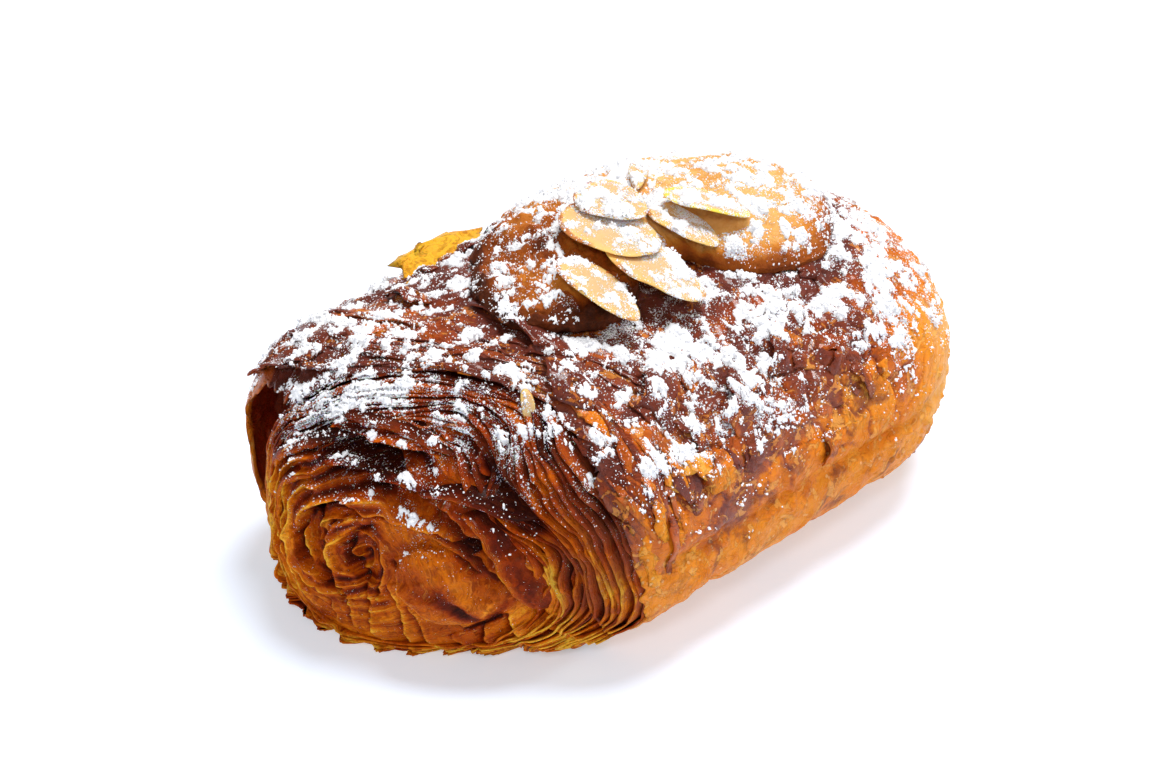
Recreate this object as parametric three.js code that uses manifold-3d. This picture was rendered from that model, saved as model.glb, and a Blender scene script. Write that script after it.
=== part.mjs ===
// An almond pain au chocolat: a rolled, laminated pastry with a baked almond cream cap and
// flaked almonds on top. One end shows the coiled layers of the dough, the other is rounded
// and closed. Millimetres, +Z up, +X along the roll away from the layered end, +Y to its left
// when looking along +X. The origin is the middle of the footprint, on the table.
import * as THREE from "three";
import { mergeVertices } from "three/addons/utils/BufferGeometryUtils.js";
import Module from "manifold-3d";

// ---- driving dimensions --------------------------------------------------------------------
const NEAR_X = -62; // tip of the layered end
const FAR_X = 66.5; // tip of the closed end
const RIGHT_Y = -40; // widest point of the right side
const LEFT_Y = 42; // widest point of the left side
const TOP_Z = 51.9; // crown of the crust
const WAIST_Z = 21; // height of the widest line
const SINK = 25; // how far the round section reaches below the waist, before the flat base
const UPPER_FULLNESS = 2.41; // superellipse exponent of the upper half of a section
const LOWER_FULLNESS = 2.02; // and of its lower half

// Plan and profile of the two ends: where each outline starts, and how long it takes to fill.
const NEAR_TIP = { y: 8, z: 24, right: 33.9, left: 29, top: 27, sink: 10 };
const FAR_TIP = { y: 0, z: 20, right: 35.4, left: 31.8, top: 31.1, sink: 25 };

// The open edge of the outer crust round the layered end. It is set far back on the right.
const RIM = { leftX: -54, rightX: -35, from: 74, to: 122, lean: 0.1, leanFrom: 150, leanTo: 215 };
const JAG = { angle: 66, width: 17, teeth: 4, depth: 3 }; // torn lip, upper left
// The crust curls away from the layers on the left.
const FLAP = { angle: 14, width: 34, gap: 0.24, depth: 13, flare: 3, length: 20 };

// The coil of layers inside the rim.
const COIL = { y: 1, z: 20, layers: 9, wall: 0.55, groove: 2.6, wave: 0.012 };
const NOSE = { angle: 196, width: 26, swell: 0.6, from: 5 }; // innermost turns bulge out here

// The pressed seam along the foot of the roll: a crease over a paler lower band.
const SEAM = { z: 22.5, depth: 1.3, height: 1.7, bandZ: 13, band: 0.8, bandHeight: 3.6 };
const SEAM_ENDS = { near: 14, farFrom: 8, farTo: 30 }; // lengths over which it fades out

// Almond cream cap: three run-together pools, each an ellipse seen from above.
const CAP = { x: 8, y: 2, gap: 0.35, lift: 0.7, rim: 3.4, reachBlend: 8, swellBlend: 4, steep: 0.8 };
const THICK_RIM = { angle: 200, width: 50, extra: 1.2 }; // steeper edge of the left pool
const CAP_DOME = [0.25, 0.45, 0.62, 0.78, 0.9]; // shares of the reach, over the dome
const CAP_EDGE = [[0.97, 0.85], [1, 0.45], [0.985, 0.1], [0.93, -0.1]]; // and share of the rim
const CAP_UNDER = [0.75, 0.4]; // and on the underside
const POOLS = [
  { x: -14, y: -1.5, length: 14, width: 12.5, rise: 2.4 },
  { x: 7, y: 8, length: 28, width: 17, rise: 6 },
  { x: 26.8, y: -4.5, length: 17.5, width: 17, rise: 5.6 },
];

// Flaked almonds: middle, size, and the turn, pitch and roll of each flake in degrees.
const FLAKE = { thickness: 0.9, gap: 0.45, point: 0.22, camber: 0.9 };
const FLAKES = [
  { x: -14.6, y: -12, length: 17, width: 8.5, turn: -77, pitch: 24, roll: -12 },
  { x: -2, y: -12.8, length: 19, width: 10.5, turn: -62, pitch: 24, roll: -4 },
  { x: -3.8, y: -4, length: 19, width: 10.5, turn: -54, pitch: 15, roll: 2 },
  { x: 9.6, y: -7.8, length: 14, width: 7.2, turn: -68, pitch: 20, roll: -8 },
  { x: 14.8, y: -8, length: 16, width: 6.5, turn: -47, pitch: 15, roll: -7 },
  { x: 0.6, y: 0.2, length: 13, width: 8.4, turn: -58, pitch: 10, roll: 4 },
  { x: 12.6, y: 6, length: 8.6, width: 4.6, turn: 222, pitch: 2, roll: -8 },
  { x: -37.6, y: -18.2, length: 6.2, width: 3, turn: -118, pitch: 62, roll: 0 },
];

// Facets: steps round a section, along the crust, round the cap and round a flake.
const ROUND_STEPS = 60;
const CRUST_STEPS = 15;
const CAP_STEPS = 44;
const FLAKE_STEPS = 16;
const FLAKE_RINGS = [[0.55, 1], [0.94, 0.9], [1, 0], [0.94, -0.9], [0.55, -1]]; // reach and side
const TABLE_SPAN = 4; // the block that cuts the base, in lengths of the far end
const SEARCH_STEPS = 24; // halvings that find the end face

const MATERIALS = {
  crust: { color: 0xa65a32, roughness: 0.42, metalness: 0 },
  almondCream: { color: 0xd9a05e, roughness: 0.7, metalness: 0 },
  almond: { color: 0xecd09a, roughness: 0.5, metalness: 0 },
};

// ---- small helpers -------------------------------------------------------------------------
const { clamp, degToRad, lerp, smoothstep } = THREE.MathUtils;

/** Quarter of a superellipse: 0 at u = 0, and 1 from u = 1 on. */
function fill(u, p, q) {
  return (1 - (1 - clamp(u, 0, 1)) ** p) ** (1 / q);
}

/** A smooth bump of height 1 about an angle in degrees, which wraps round the circle. */
function bump(angle, middle, width) {
  const away = ((angle - middle + 540) % 360) - 180;
  return Math.exp(-((away / width) ** 2));
}

/** A smooth bump of height 1 about a height. */
function ridge(z, middle, height) {
  return Math.exp(-(((z - middle) / height) ** 2));
}

/** Power that keeps the sign, for superellipses. */
function power(value, exponent) {
  return Math.sign(value) * Math.abs(value) ** exponent;
}

/** Angles in degrees of a number of equal steps round the circle. */
function roundAngles(steps) {
  return Array.from({ length: steps }, (_, i) => (i * 360) / steps);
}

/**
 * Closed geometry from rings of points that run from one pole to the other, and that turn
 * anticlockwise when seen from the start pole.
 */
function closeRings(startPole, rings, endPole) {
  const count = rings[0].length;
  const points = [startPole, ...rings.flat(), endPole];
  const endIndex = points.length - 1;
  const at = (ring, i) => 1 + ring * count + (i % count);
  const index = [];
  for (let i = 0; i < count; i += 1) {
    index.push(0, at(0, i), at(0, i + 1));
    for (let ring = 0; ring < rings.length - 1; ring += 1) {
      index.push(at(ring, i), at(ring + 1, i), at(ring, i + 1));
      index.push(at(ring, i + 1), at(ring + 1, i), at(ring + 1, i + 1));
    }
    index.push(endIndex, at(rings.length - 1, i + 1), at(rings.length - 1, i));
  }
  const geometry = new THREE.BufferGeometry();
  geometry.setAttribute("position", new THREE.Float32BufferAttribute(points.flat(), 3));
  geometry.setIndex(index);
  return geometry;
}

/** A mesh with a name and one of the materials above. */
function makeMesh(name, geometry, material) {
  const mesh = new THREE.Mesh(geometry, new THREE.MeshStandardMaterial(MATERIALS[material]));
  mesh.name = name;
  return mesh;
}

// ---- the roll ------------------------------------------------------------------------------
/** Middle, half width and the two half heights of the section at x. */
function section(x) {
  const near = x - NEAR_X;
  const far = FAR_X - x;
  let right = lerp(NEAR_TIP.y, RIGHT_Y, fill(near / NEAR_TIP.right, 1.5, 1.2));
  let left = lerp(NEAR_TIP.y, LEFT_Y, fill(near / NEAR_TIP.left, 2, 2));
  right = lerp(FAR_TIP.y, right, fill(far / FAR_TIP.right, 2.2, 2.2));
  left = lerp(FAR_TIP.y, left, fill(far / FAR_TIP.left, 2.2, 2.2));
  const rise = Math.min(fill(near / NEAR_TIP.top, 2.4, 2), fill(far / FAR_TIP.top, 2, 2));
  const top = lerp(x < 0 ? NEAR_TIP.z : FAR_TIP.z, TOP_Z, rise);
  const drop = Math.min(fill(near / NEAR_TIP.sink, 2, 2), fill(far / FAR_TIP.sink, 2, 2));
  return { middle: (right + left) / 2, half: (left - right) / 2, up: top - WAIST_Z, down: SINK * drop };
}

/** Point of the crust at x, at an angle in degrees from +Y towards +Z, with its relief. */
function onCrust(x, angle) {
  const s = section(x);
  const c = Math.cos(degToRad(angle));
  const h = Math.sin(degToRad(angle));
  const fullness = h > 0 ? UPPER_FULLNESS : LOWER_FULLNESS;
  const y = s.middle + s.half * power(c, 2 / fullness);
  const z = WAIST_Z + (h > 0 ? s.up : s.down) * power(h, 2 / fullness);
  const out = seamRelief(x, z) + flapRelief(x, angle);
  return [x, y + out * c, z + out * h];
}

/** The pressed seam and the band below it, which fade out at both ends. */
function seamRelief(x, z) {
  const near = smoothstep(x, RIM.rightX, RIM.rightX + SEAM_ENDS.near);
  const far = smoothstep(FAR_X - x, SEAM_ENDS.farFrom, SEAM_ENDS.farTo);
  const ends = near * far;
  const crease = SEAM.depth * ridge(z, SEAM.z, SEAM.height);
  return ends * (SEAM.band * ridge(z, SEAM.bandZ, SEAM.bandHeight) - crease);
}

/** The crust curls outwards by the layered end's left side. */
function flapRelief(x, angle) {
  const reach = 1 - smoothstep(x, RIM.leftX, RIM.leftX + FLAP.length);
  return FLAP.flare * bump(angle, FLAP.angle, FLAP.width) * reach;
}

/** Height of the crust's crown over a point of the plan. */
function crown(x, y) {
  const s = section(x);
  const across = Math.min(1, Math.abs(y - s.middle) / s.half);
  return WAIST_Z + s.up * (1 - across ** UPPER_FULLNESS) ** (1 / UPPER_FULLNESS);
}

/** The x at which the rounded layered end passes through a point of the cross plane. */
function endFace(y, z) {
  const fullness = z > WAIST_Z ? UPPER_FULLNESS : LOWER_FULLNESS;
  let outside = NEAR_X;
  let inside = RIM.rightX;
  for (let step = 0; step < SEARCH_STEPS; step += 1) {
    const x = (outside + inside) / 2;
    const s = section(x);
    const across = Math.abs(y - s.middle) / s.half;
    const along = Math.abs(z - WAIST_Z) / (z > WAIST_Z ? s.up : s.down);
    if (across ** fullness + along ** fullness < 1) inside = x;
    else outside = x;
  }
  return inside;
}

/** Where the outer crust ends, round the layered end, with its torn lip. */
function rimX(angle) {
  const rise = smoothstep(angle, RIM.from, RIM.to);
  const back = smoothstep(angle, RIM.leanTo, 360);
  const right = RIM.rightX + RIM.lean * (clamp(angle, RIM.leanFrom, RIM.leanTo) - RIM.leanFrom);
  const tooth = Math.abs((((angle * JAG.teeth) / (2 * JAG.width)) % 1) - 0.5) * 2;
  const jag = JAG.depth * tooth * bump(angle, JAG.angle, JAG.width);
  return lerp(RIM.leftX, right, rise * (1 - back)) - jag;
}

/** One layer of the coil: how far out it lies, from 1 at the rim to 0 at the eye. */
function layerScale(layer, angle) {
  const hollow = layer > 0 ? FLAP.gap * bump(angle, FLAP.angle, FLAP.width) : 0;
  const wave = COIL.wave * layer * Math.sin(degToRad(3 * angle) + 1.9 * layer);
  return (1 - layer / COIL.layers) * (1 - hollow) * (1 + wave);
}

/** Point of the coil at an angle, a scale from the eye to the rim, and an x. */
function onCoil(angle, scale, x) {
  const [, y, z] = onCrust(rimX(angle), angle);
  return [x, lerp(COIL.y, y, scale), lerp(COIL.z, z, scale)];
}

/** The x of a layer's free edge: each layer stands out past the one outside it. */
function layerEdge(layer, angle) {
  if (layer === 0) return rimX(angle);
  const scale = layerScale(layer, angle) - 0.5 / COIL.layers;
  const [, y, z] = onCoil(angle, scale, 0);
  const nose = layer >= NOSE.from ? NOSE.swell * bump(angle, NOSE.angle, NOSE.width) : 0;
  return Math.min(endFace(y, z), layerEdge(layer - 1, angle)) - nose;
}

/** The x of the bottom of the groove behind a layer's edge. */
function layerGroove(layer, angle) {
  const hollow = layer === 0 ? FLAP.depth * bump(angle, FLAP.angle, FLAP.width) : 0;
  return layerEdge(layer, angle) + COIL.groove + hollow;
}

/** Rings of the stepped end: up each layer's outer face, over its edge and down its inner face. */
function coilRings(angles) {
  const wall = COIL.wall / COIL.layers;
  const rings = [];
  const addRing = (layer, thickness, place) => {
    rings.push(angles.map((a) => onCoil(a, layerScale(layer, a) - thickness, place(a))));
  };
  for (let layer = 0; layer < COIL.layers; layer += 1) {
    if (layer > 0) addRing(layer, 0, (a) => layerGroove(layer - 1, a));
    addRing(layer, 0, (a) => layerEdge(layer, a));
    addRing(layer, wall, (a) => layerEdge(layer, a));
    addRing(layer, wall, (a) => layerGroove(layer, a));
  }
  return rings;
}

/** Rings of the crust, from the closed end to just short of the rim. */
function crustRings(angles) {
  const rings = [];
  for (let step = 1; step < CRUST_STEPS; step += 1) {
    const along = 1 - Math.cos((step / CRUST_STEPS) * (Math.PI / 2));
    rings.push(angles.map((a) => onCrust(lerp(FAR_X, rimX(a), along), a)));
  }
  return rings;
}

/** Cut a closed geometry level at the table, and keep what stands on it. */
function cutAtTable(wasm, geometry) {
  const solid = (shape) => {
    const bare = shape.index ? shape : mergeVertices(shape);
    const vertProperties = new Float32Array(bare.attributes.position.array);
    const triVerts = new Uint32Array(bare.index.array);
    return new wasm.Manifold(new wasm.Mesh({ numProp: 3, vertProperties, triVerts }));
  };
  const side = TABLE_SPAN * FAR_X;
  const table = new THREE.BoxGeometry(side, side, side).translate(0, 0, -side / 2);
  table.deleteAttribute("normal");
  table.deleteAttribute("uv");
  const cut = solid(geometry).subtract(solid(mergeVertices(table))).getMesh();
  const result = new THREE.BufferGeometry();
  result.setAttribute("position", new THREE.BufferAttribute(cut.vertProperties, 3));
  result.setIndex(new THREE.BufferAttribute(cut.triVerts, 1));
  return result;
}

/** The whole roll as one solid with a flat base. */
async function makeRoll() {
  const wasm = await Module();
  wasm.setup();
  const angles = roundAngles(ROUND_STEPS);
  const pole = [FAR_X, FAR_TIP.y, FAR_TIP.z];
  const eye = [endFace(COIL.y, COIL.z), COIL.y, COIL.z];
  const geometry = closeRings(pole, [...crustRings(angles), ...coilRings(angles)], eye);
  return makeMesh("pastry_roll", cutAtTable(wasm, geometry), "crust");
}

// ---- the almond cream cap --------------------------------------------------------------------
/** How far the cap reaches from its middle, in a direction: the rounded union of its pools. */
function capReach(angle) {
  const c = Math.cos(degToRad(angle));
  const h = Math.sin(degToRad(angle));
  let sum = 0;
  for (const pool of POOLS) {
    const x = (CAP.x - pool.x) / pool.length;
    const y = (CAP.y - pool.y) / pool.width;
    const u = c / pool.length;
    const v = h / pool.width;
    const a = u * u + v * v;
    const b = x * u + y * v;
    const root = b * b - a * (x * x + y * y - 1);
    const reach = root > 0 ? Math.max(0, (Math.sqrt(root) - b) / a) : 0;
    sum += reach ** CAP.reachBlend;
  }
  return sum ** (1 / CAP.reachBlend);
}

/** Thickness of the cap's rim in a direction: the left pool ends in a thick, steep edge. */
function capRim(angle) {
  return CAP.rim + THICK_RIM.extra * bump(angle, THICK_RIM.angle, THICK_RIM.width);
}

/** How far the cap swells above the level of its rim: the smooth union of the pools' domes. */
function capSwell(x, y) {
  let sum = 0;
  for (const pool of POOLS) {
    const away = ((x - pool.x) / pool.length) ** 2 + ((y - pool.y) / pool.width) ** 2;
    sum += (pool.rise * Math.max(0, 1 - away) ** CAP.steep) ** CAP.swellBlend;
  }
  return sum ** (1 / CAP.swellBlend);
}

/** Ring of the cap at a share of its reach, at a height over the crust. */
function capRing(angles, share, height) {
  return angles.map((a) => {
    const reach = capReach(a) * share;
    const x = CAP.x + reach * Math.cos(degToRad(a));
    const y = CAP.y + reach * Math.sin(degToRad(a));
    return [x, y, crown(x, y) + height(a, x, y)];
  });
}

/** The cap: a dome that rests on the crust, with a thick, slightly lifted rim. */
function makeCap() {
  const angles = roundAngles(CAP_STEPS);
  const dome = (a, x, y) => capRim(a) + capSwell(x, y);
  const underside = () => CAP.gap;
  const edge = (share) => (a) => CAP.gap + CAP.lift + share * (capRim(a) - CAP.lift);
  const rings = [
    ...CAP_DOME.map((share) => capRing(angles, share, dome)),
    ...CAP_EDGE.map(([share, level]) => capRing(angles, share, edge(level))),
    ...CAP_UNDER.map((share) => capRing(angles, share, underside)),
  ];
  const base = crown(CAP.x, CAP.y);
  const top = [CAP.x, CAP.y, base + dome(0, CAP.x, CAP.y)];
  const bottom = [CAP.x, CAP.y, base + CAP.gap];
  return makeMesh("almond_cream_cap", closeRings(top, rings, bottom), "almondCream");
}

// ---- the flaked almonds ----------------------------------------------------------------------
/** One flake: a thin, slightly cambered slice, narrower towards its +X tip. */
function makeFlake(name, flake) {
  const ring = (share, side) => roundAngles(FLAKE_STEPS).map((a) => {
    const c = Math.cos(degToRad(a));
    const x = share * c * flake.length / 2;
    const y = share * Math.sin(degToRad(a)) * (1 - FLAKE.point * c) * flake.width / 2;
    const z = side * FLAKE.thickness / 2 - FLAKE.camber * (share * c) ** 2;
    return [x, y, z];
  });
  const rings = FLAKE_RINGS.map(([share, side]) => ring(share, side));
  const half = FLAKE.thickness / 2;
  const mesh = makeMesh(name, closeRings([0, 0, half], rings, [0, 0, -half]), "almond");
  const [turn, pitch, roll] = [flake.turn, flake.pitch, flake.roll].map(degToRad);
  mesh.rotation.set(roll, pitch, turn, "ZYX");
  mesh.position.set(flake.x, flake.y, 2 * TOP_Z);
  return mesh;
}

/** Lower a mesh until it is one gap above whatever lies under it. */
function restOn(mesh, supports) {
  mesh.updateMatrixWorld(true);
  const down = new THREE.Vector3(0, 0, -1);
  const corner = new THREE.Vector3();
  const positions = mesh.geometry.attributes.position;
  let drop = Infinity;
  for (let i = 0; i < positions.count; i += 1) {
    corner.fromBufferAttribute(positions, i).applyMatrix4(mesh.matrixWorld);
    const [hit] = new THREE.Raycaster(corner, down).intersectObjects(supports);
    if (hit) drop = Math.min(drop, hit.distance);
  }
  mesh.position.z -= drop - FLAKE.gap;
  mesh.updateMatrixWorld(true);
}

// ---- assembly ----------------------------------------------------------------------------------
const roll = await makeRoll();
const cap = makeCap();
const placed = [roll, cap];
FLAKES.forEach((flake, i) => {
  const mesh = makeFlake(`almond_flake_${i + 1}`, flake);
  restOn(mesh, placed);
  placed.push(mesh);
});

const pastry = new THREE.Group();
pastry.add(...placed);
const box = new THREE.Box3().setFromObject(pastry);
const middle = box.getCenter(new THREE.Vector3());
pastry.position.set(-middle.x, -middle.y, -box.min.z);

export default pastry;
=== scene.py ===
"""Looks for an almond pain au chocolat.

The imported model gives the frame: one roll of baked dough, the almond cream cap and the
flaked almonds. This script dresses them: a blistered, egg-washed crust with torn plates, the
thin sheets of dough that fan out at the open end, the baked cream, the toasted almonds and a
heavy fall of icing sugar.

Sizes inside the classes are millimetres, and the meshes are metres. +X runs from the open end
to the closed one, and +Z is up. In calls of cloud, lattice and cells, the number after the
scale is a seed, and each seed names one random field.
"""
import sys

import logging
import math
from contextlib import contextmanager
from dataclasses import dataclass, field
from enum import Enum
from typing import Callable, Iterator, Sequence

import bmesh
import bpy
import numpy as np
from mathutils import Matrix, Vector
from mathutils.bvhtree import BVHTree

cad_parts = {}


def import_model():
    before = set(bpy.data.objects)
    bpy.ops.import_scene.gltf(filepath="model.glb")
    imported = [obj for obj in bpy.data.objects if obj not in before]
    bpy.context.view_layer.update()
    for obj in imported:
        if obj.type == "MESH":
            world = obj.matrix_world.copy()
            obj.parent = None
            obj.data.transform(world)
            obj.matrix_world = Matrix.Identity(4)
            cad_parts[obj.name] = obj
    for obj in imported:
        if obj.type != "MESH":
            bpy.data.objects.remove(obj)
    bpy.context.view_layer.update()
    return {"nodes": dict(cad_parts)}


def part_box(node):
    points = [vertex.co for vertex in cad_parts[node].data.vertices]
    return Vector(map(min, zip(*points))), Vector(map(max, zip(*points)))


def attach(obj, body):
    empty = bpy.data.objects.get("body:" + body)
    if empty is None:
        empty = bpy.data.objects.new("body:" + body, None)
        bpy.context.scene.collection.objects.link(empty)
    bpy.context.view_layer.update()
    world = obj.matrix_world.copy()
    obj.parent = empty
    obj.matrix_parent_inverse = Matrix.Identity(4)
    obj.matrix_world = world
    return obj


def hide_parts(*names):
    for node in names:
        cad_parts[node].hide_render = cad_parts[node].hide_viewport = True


MM = 0.001
BODY = "root"
FLAKE = "almond_flake"
SEED = 4106
TOUCH = 0.01 * MM

Array = np.ndarray
Colour = tuple[float, float, float]
Line = Sequence[tuple[float, float]]

logging.basicConfig(level=logging.INFO, format="%(message)s", stream=sys.stdout)
log = logging.getLogger("pastry")


# ---- numbers on arrays ----
def ramp(value: Array, low: float, high: float) -> Array:
    """Smooth step from 0 at low to 1 at high, for arrays; low may be above high."""
    share = np.clip((value - low) / (high - low), 0, 1)
    return share * share * (3 - 2 * share)


def mix(a: Array, b: Array, share: Array) -> Array:
    """Straight mix of two arrays."""
    return a + (b - a) * share


def fill(share: Array, p: float, q: float) -> Array:
    """Quarter of a superellipse: 0 at 0 and 1 from 1 on."""
    return (1 - (1 - np.clip(share, 0, 1)) ** p) ** (1 / q)


def bump(angle: Array, middle: float, width: float) -> Array:
    """Smooth bump of height 1 about an angle in degrees, wrapping round the circle."""
    away = (angle - middle + 540) % 360 - 180
    return np.exp(-((away / width) ** 2))


def knoll(y: Array, z: Array, at: tuple[float, float], size: tuple[float, float],
          tilt: float = 0.0) -> Array:
    """Smooth bump of height 1 over an ellipse in a plane.

    Args:
        y: First coordinates.
        z: Second coordinates.
        at: Middle of the ellipse.
        size: Its two half lengths.
        tilt: Turn of its first axis, in degrees.

    Returns:
        The bump at each point.
    """
    c, s = math.cos(math.radians(tilt)), math.sin(math.radians(tilt))
    dy, dz = y - at[0], z - at[1]
    along, across = c * dy + s * dz, c * dz - s * dy
    return np.exp(-((along / size[0]) ** 2) - (across / size[1]) ** 2)


def circle(angle: Array, radius: float) -> Array:
    """Points of a circle at angles in degrees, two columns."""
    return np.stack([np.cos(np.radians(angle)), np.sin(np.radians(angle))], axis=1) * radius


def _chance(cell: Array, seed: int) -> Array:
    """A repeatable random number from 0 to 1 for each row of whole-number cells.

    Args:
        cell: Whole-number places, one per row.
        seed: Which numbers.

    Returns:
        One number per row.
    """
    key = np.full(len(cell), seed * 668265263, np.uint64)
    for column in range(cell.shape[1]):
        key ^= cell[:, column].astype(np.int64).astype(np.uint64) * np.uint64(0x9E3779B97F4A7C15)
        key ^= key >> np.uint64(29)
        key *= np.uint64(0xBF58476D1CE4E5B9)
        key ^= key >> np.uint64(32)
    return (key >> np.uint64(11)).astype(float) / float(1 << 53)


def lattice(points: Array, scale: float, seed: int) -> Array:
    """Smooth random field from -1 to 1.

    Args:
        points: Points, one per row, with two or three columns.
        scale: Size of a feature.
        seed: Which field.

    Returns:
        One value per point.
    """
    spot = points / scale
    cell = np.floor(spot)
    part = spot - cell
    part = part * part * part * (part * (part * 6 - 15) + 10)
    total = np.zeros(len(points))
    for corner in np.ndindex(*(2,) * points.shape[1]):
        weight = np.prod(np.where(corner, part, 1 - part), axis=1)
        total += weight * _chance(cell + corner, seed)
    return total * 2 - 1


def cloud(points: Array, scale: float, seed: int, octaves: int = 3) -> Array:
    """Sum of smooth random fields, each half the size and half the height of the last.

    Args:
        points: Points, one per row.
        scale: Size of the broadest feature.
        seed: Which field.
        octaves: How many fields are summed.

    Returns:
        One value per point, from -1 to 1.
    """
    total, height = np.zeros(len(points)), 1.0
    for octave in range(octaves):
        total += height * lattice(points, scale / 2 ** octave, seed + 17 * octave)
        height *= 0.5
    return total / (2 - 2 * height)


@dataclass
class Cells:
    """Irregular cells over a plane.

    Attributes:
        near: Distance to the nearest seed point, in cell sizes.
        edge: How much further the second nearest is, in cell sizes.
        tone: Random number of the nearest cell.
        other: Another random number of that cell.
    """

    near: Array
    edge: Array
    tone: Array
    other: Array


def cells(points: Array, scale: float, seed: int) -> Cells:
    """Breaks a plane into irregular cells.

    Args:
        points: Points of the plane, two columns.
        scale: Size of a cell.
        seed: Which pattern.

    Returns:
        The cells' distances and random numbers at each point.
    """
    spot = points / scale
    home = np.floor(spot)
    first = np.full(len(points), 9.0)
    second = first.copy()
    tone, other = np.zeros(len(points)), np.zeros(len(points))
    for step in np.ndindex(3, 3):
        cell = home + np.array(step) - 1
        seeds = cell + np.stack([_chance(cell, seed), _chance(cell, seed + 1)], axis=1)
        away = np.linalg.norm(spot - seeds, axis=1)
        closer = away < first
        second = np.where(closer, first, np.minimum(second, away))
        first = np.where(closer, away, first)
        tone = np.where(closer, _chance(cell, seed + 2), tone)
        other = np.where(closer, _chance(cell, seed + 3), other)
    return Cells(first, second - first, tone, other)


# ---- meshes ----
Place = Callable[[Array, Array], Array]


@contextmanager
def shaping(mesh: bpy.types.Mesh) -> Iterator[bmesh.types.BMesh]:
    """Opens a mesh for bmesh operators, and stores what they leave.

    Args:
        mesh: The mesh, which may be empty.

    Yields:
        Its bmesh.
    """
    bm = bmesh.new()
    bm.from_mesh(mesh)
    yield bm
    bm.to_mesh(mesh)
    bm.free()


def grid_mesh(name: str, columns: int, rows: int, place: Place) -> bpy.types.Mesh:
    """A grid bent into shape.

    Args:
        name: Name of the mesh.
        columns: Faces along u.
        rows: Faces along v.
        place: Gives points in mm for arrays of u and v, which run from 0 to 1.

    Returns:
        The mesh, with u and v kept as the attributes "u" and "v".
    """
    mesh = bpy.data.meshes.new(name)
    with shaping(mesh) as bm:
        bmesh.ops.create_grid(bm, x_segments=columns, y_segments=rows, size=0.5)
    flat = coordinates(mesh)
    u, v = np.clip(flat[:, 0] + 0.5, 0, 1), np.clip(flat[:, 1] + 0.5, 0, 1)
    move(mesh, place(u, v) * MM)
    paint(mesh, "u", u)
    paint(mesh, "v", v)
    return mesh


def coordinates(mesh: bpy.types.Mesh) -> Array:
    """The mesh's vertex places, one row each, in metres.

    Args:
        mesh: The mesh to read.

    Returns:
        One row of x, y and z for each vertex.
    """
    flat = np.empty(len(mesh.vertices) * 3, np.float32)
    mesh.vertices.foreach_get("co", flat)
    return flat.reshape(-1, 3).astype(float)


def normals(mesh: bpy.types.Mesh) -> Array:
    """The mesh's vertex normals, one row each.

    Args:
        mesh: The mesh to read.

    Returns:
        One unit vector for each vertex.
    """
    flat = np.empty(len(mesh.vertices) * 3, np.float32)
    mesh.vertex_normals.foreach_get("vector", flat)
    return flat.reshape(-1, 3).astype(float)


def move(mesh: bpy.types.Mesh, places: Array) -> None:
    """Puts the vertices at new places, in metres."""
    mesh.vertices.foreach_set("co", places.astype(np.float32).ravel())
    mesh.update()


def paint(mesh: bpy.types.Mesh, name: str, values: Array) -> None:
    """Stores one number per vertex under a name that a material can read."""
    layer = mesh.attributes.get(name) or mesh.attributes.new(name, "FLOAT", "POINT")
    layer.data.foreach_set("value", np.broadcast_to(values, len(mesh.vertices)).astype(np.float32))


def painted(mesh: bpy.types.Mesh, name: str) -> Array:
    """The numbers stored under a name.

    Args:
        mesh: The mesh to read.
        name: What the numbers were stored as.

    Returns:
        One number for each vertex.
    """
    values = np.empty(len(mesh.vertices), np.float32)
    mesh.attributes[name].data.foreach_get("value", values)
    return values.astype(float)


def weld(mesh: bpy.types.Mesh) -> None:
    """Merges the vertices of a mesh that touch.

    Args:
        mesh: The mesh to clean.
    """
    with shaping(mesh) as bm:
        bmesh.ops.remove_doubles(bm, verts=bm.verts, dist=TOUCH)
        bmesh.ops.dissolve_degenerate(bm, edges=bm.edges, dist=TOUCH / 100)


def join(name: str, meshes: Sequence[bpy.types.Mesh]) -> bpy.types.Mesh:
    """Puts several meshes into one, with their painted numbers.

    Args:
        name: Name of the new mesh.
        meshes: The meshes, which are used up.

    Returns:
        The new mesh.
    """
    bm = bmesh.new()
    for mesh in meshes:
        bm.from_mesh(mesh)
        bpy.data.meshes.remove(mesh)
    joined = bpy.data.meshes.new(name)
    bm.to_mesh(joined)
    bm.free()
    return joined


def repeated(name: str, mesh: bpy.types.Mesh, count: int) -> bpy.types.Mesh:
    """Puts many copies of a mesh into one, each copy's vertices in the same order.

    Args:
        name: Name of the new mesh.
        mesh: The mesh to copy.
        count: How many copies.

    Returns:
        The new mesh.
    """
    bm = bmesh.new()
    bm.from_mesh(mesh)
    many = bpy.data.meshes.new(name)
    corners = len(mesh.vertices)
    while len(bm.verts) < count * corners:
        bm.to_mesh(many)
        bm.from_mesh(many)
    bmesh.ops.delete(bm, geom=bm.verts[count * corners:], context="VERTS")
    bm.to_mesh(many)
    bm.free()
    return many


def aim(thing: bpy.types.Object, place: Vector, target: Vector) -> None:
    """Puts a lamp or the camera at a place, facing a target, both in metres.

    Args:
        thing: The lamp or the camera.
        place: Where it goes.
        target: What it faces.
    """
    thing.location = place
    thing.rotation_mode = "QUATERNION"
    thing.rotation_quaternion = (target - place).to_track_quat("-Z", "Y")


def link(name: str, data: bpy.types.ID) -> bpy.types.Object:
    """Makes an object of a mesh, a lamp or a camera, and puts it in the scene.

    Args:
        name: The object's name.
        data: What it shows.

    Returns:
        The object.
    """
    thing = bpy.data.objects.new(name, data)
    bpy.context.scene.collection.objects.link(thing)
    return thing


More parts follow.
